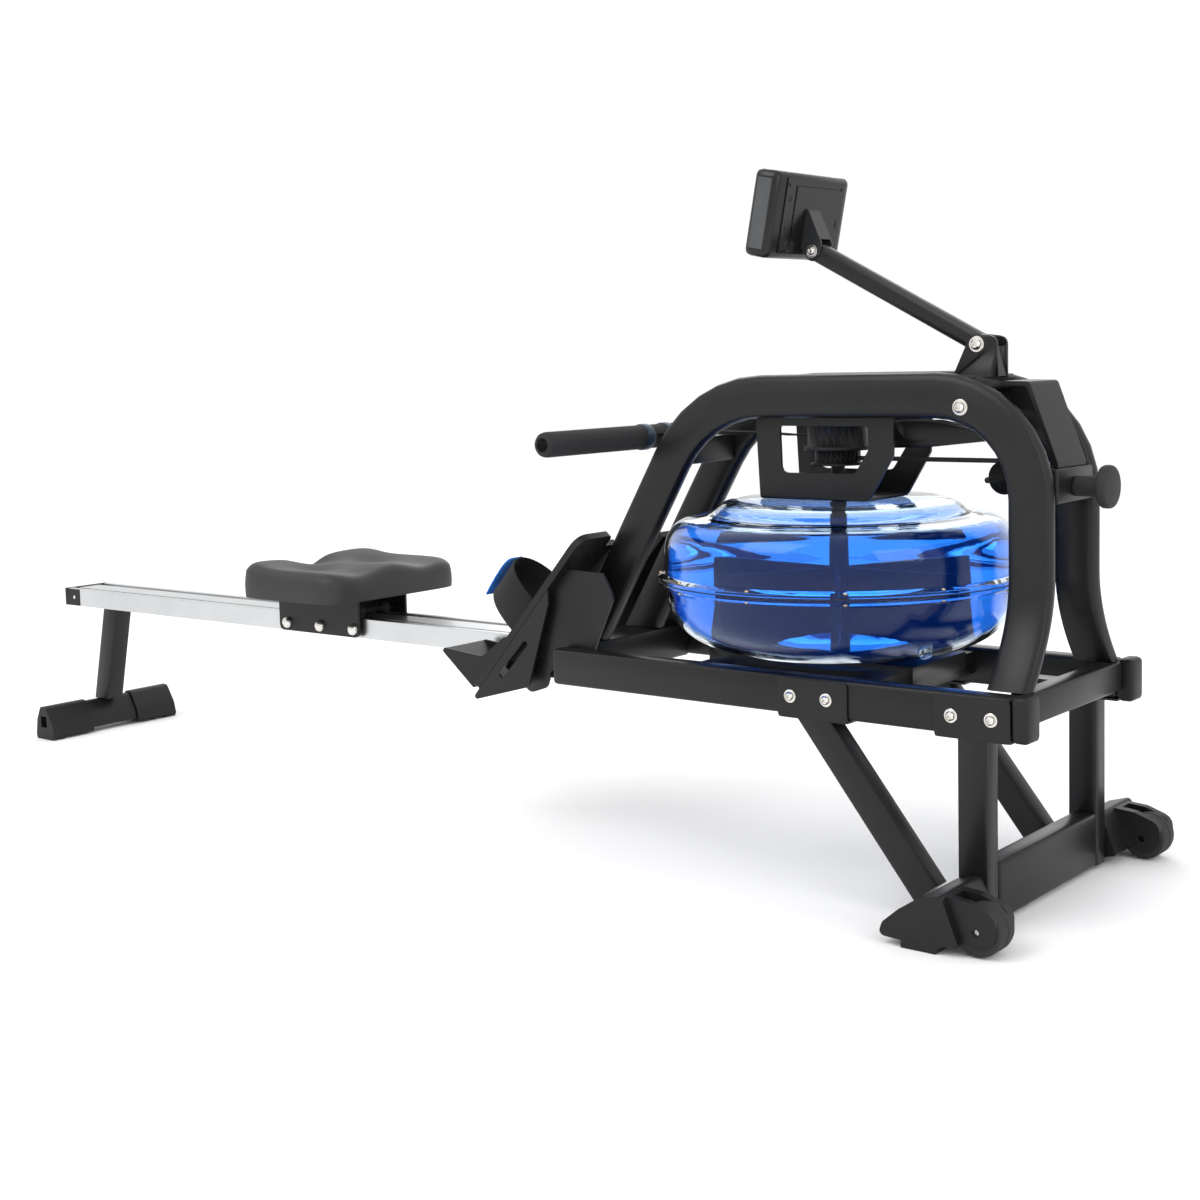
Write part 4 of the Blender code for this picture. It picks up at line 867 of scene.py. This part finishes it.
def footplates():
    """Each footplate with round toe corners, toe holes, ribs and a bolt by its outer edge."""
    thick, length, half = 0.0100, 0.3000, 0.0490
    cut_from, cut_by = 0.2800, 0.0275  # the toe is narrower on one side
    hole_radius, hole_steps = 0.0034, 18
    ribs, rib_from, rib_gap, rib_wide, rib_half = 7, 0.190, 0.0085, 0.0028, 0.036
    off_plate = (-math.sin(FOOT_ANGLE), 0, math.cos(FOOT_ANGLE))
    corners = (
        (0.0, -half, 0.004), (cut_from, -half, 0.001), (cut_from, -half + cut_by, 0.001),
        (length, -half + cut_by, 0.008), (length, half, 0.022), (0.0, half, 0.004),
    )
    turns = [math.radians(-360 / hole_steps * k) for k in range(hole_steps)]
    for side, sign in SIDES:
        outline = [(a, sign * c) for a, c in rounded(corners)]
        holes = [
            [(a + hole_radius * math.cos(t), c + hole_radius * math.sin(t)) for t in turns]
            for a in (length - 0.034, length - 0.016)
            for c in (sign * -0.0050, sign * 0.0310)
        ]
        mesh = flat_plate(outline, holes, thick)
        x, z = on_foot(0, -thick / 2)
        turn = Matrix.Translation((x, sign * FOOT_MIDDLE_Y, z))
        turn = turn @ Matrix.Rotation(-FOOT_ANGLE, 4, "Y")
        mesh.transform(turn)
        plate = from_bmesh(f"footplate_{side}_shape", mesh, PLASTIC, 35)
        edge = plate.modifiers.new("edge", "BEVEL")
        edge.width, edge.segments, edge.limit_method = 0.0009, 2, "ANGLE"
        finish(plate, "frame")
        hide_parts(f"footplate_{side}")
        for i in range(ribs):
            along = rib_from + i * rib_gap
            low = (along, -rib_half, thick / 2 - 0.0005)
            high = (along + rib_wide, rib_half, thick / 2 + 0.0012)
            rib = block(f"footplate_rib_{side}_{i + 1}", low, high, RUBBER, 0.0006, turn)
            finish(rib, "frame")
        x, z = on_foot(0.245, 0.0)
        spot = (x, sign * 0.1430, z)
        bolt(f"plate_bolt_{side}", spot, off_plate, 0.0045, "frame", washer=False, rise=0.0020)


def console():
    """The display, side panels painted lighter grey as the lit side faces' highlight, and what shows
    on the console's back.

    The parts are given in the console's own axes: x to its back, y across and z up its face.
    """
    tilt = Matrix.Translation(CONSOLE_MIDDLE) @ Matrix.Rotation(CONSOLE_LEAN, 4, "Y")
    low, high = (-0.0208, -0.066, -0.016), (-0.0193, 0.066, 0.044)
    screen = block("display_window", low, high, SCREEN, 0.0006, tilt)
    finish(screen, "console_body")
    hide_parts("console_screen")
    # The grey side panels are painted highlight: a lighter grey where light falls on the console's
    # side faces.
    for side, sign in SIDES:
        low_y, high_y = sorted((sign * 0.0870, sign * 0.0886))
        low, high = (-0.0115, low_y, -0.046), (0.0105, high_y, 0.046)
        panel = block(f"painted_side_highlight_{side}", low, high, LIT_SIDE_AND_SEGMENT_GREY, 0.0006, tilt)
        finish(panel, "console_body")
    back = 0.0190
    parts = (  # name, its y and z reach, how far it stands proud, and its look
        ("back_cover", (-0.066, 0.074), (-0.048, 0.049), 0.0016, CONSOLE_BLACK),
        ("battery_door", (-0.0430, 0.060), (-0.040, 0.040), 0.0024, CONSOLE_BLACK),
        # These near-black pieces are painted shade: dark patches for the shaded hollows of the seam
        # groove, socket, latch and reset recess, standing proud instead of cut in.
        ("seam_groove", (-0.0452, -0.0434), (-0.040, 0.040), 0.0019, PAINTED_HOLLOW_SHADE),
        ("socket", (-0.0580, -0.0500), (0.018, 0.026), 0.0019, PAINTED_HOLLOW_SHADE),
        ("door_latch", (0.0610, 0.0660), (-0.012, 0.000), 0.0021, PAINTED_HOLLOW_SHADE),
        ("reset_recess", (-0.0600, -0.0540), (-0.020, -0.012), 0.0019, PAINTED_HOLLOW_SHADE),
    )
    for name, (low_y, high_y), (low_z, high_z), proud, look in parts:
        low, high = (back - 0.0008, low_y, low_z), (back + proud, high_y, high_z)
        piece = block(f"console_{name}", low, high, look, 0.0008, tilt)
        finish(piece, "console_body")
    axis = tilt.to_3x3() @ Vector((1, 0, 0))
    corners = ((-0.060, 0.040), (0.066, 0.040), (-0.060, -0.040), (0.066, -0.040))
    for i, (y, z) in enumerate(corners):
        spot = tilt @ Vector((back + 0.0016, y, z))
        bolt(
            f"case_screw_{i + 1}", spot, axis, 0.0026, "console_body",
            look=STEEL, washer=False, rise=0.0008,
        )
    half_wide, half_high, pitch = 0.0024, 0.0006, 0.0085
    for middle_y, name in ((-0.045, "time"), (0.0, "stroke"), (0.045, "metres")):
        for k in range(3):
            y = middle_y + (k - 1) * pitch
            for row in (0.018, 0.026):
                low = (-0.02095, y - half_wide, row - half_high)
                high = (-0.0206, y + half_wide, row + half_high)
                title = f"segment_{name}_{k}_{int(row * 1000)}"
                piece = block(title, low, high, LIT_SIDE_AND_SEGMENT_GREY, 0.0001, tilt)
                finish(piece, "console_body")


def frame_details():
    """The sleeve and screws at the rail's end, and the pivot bolts of the arm and neck."""
    for side, sign in SIDES:
        out = (0, sign, 0)
        low_y, high_y = sorted((sign * 0.0450, sign * 0.0454))
        low, high = (-1.0140, low_y, 0.2365), (-0.979, high_y, 0.2675)
        sleeve = block(f"rail_sleeve_{side}", low, high, PLASTIC, 0.0002)
        finish(sleeve, "frame")
        spot = (-0.996, sign * 0.0455, 0.252)
        bolt(f"rail_screw_{side}", spot, out, 0.0032, "frame", washer=False, rise=0.0014)
        bolt(f"arm_bolt_{side}", (0.856, sign * 0.0155, 0.683), out, 0.0100, "frame")
        bolt(f"neck_bolt_{side}", (0.620, sign * 0.0145, 0.809), out, 0.0085, "console_body")


studio()
camera()
carried_over()
tank()
seat()
handle()
wheels()
foot_straps()
footplates()
console()
frame_details()
fasteners()
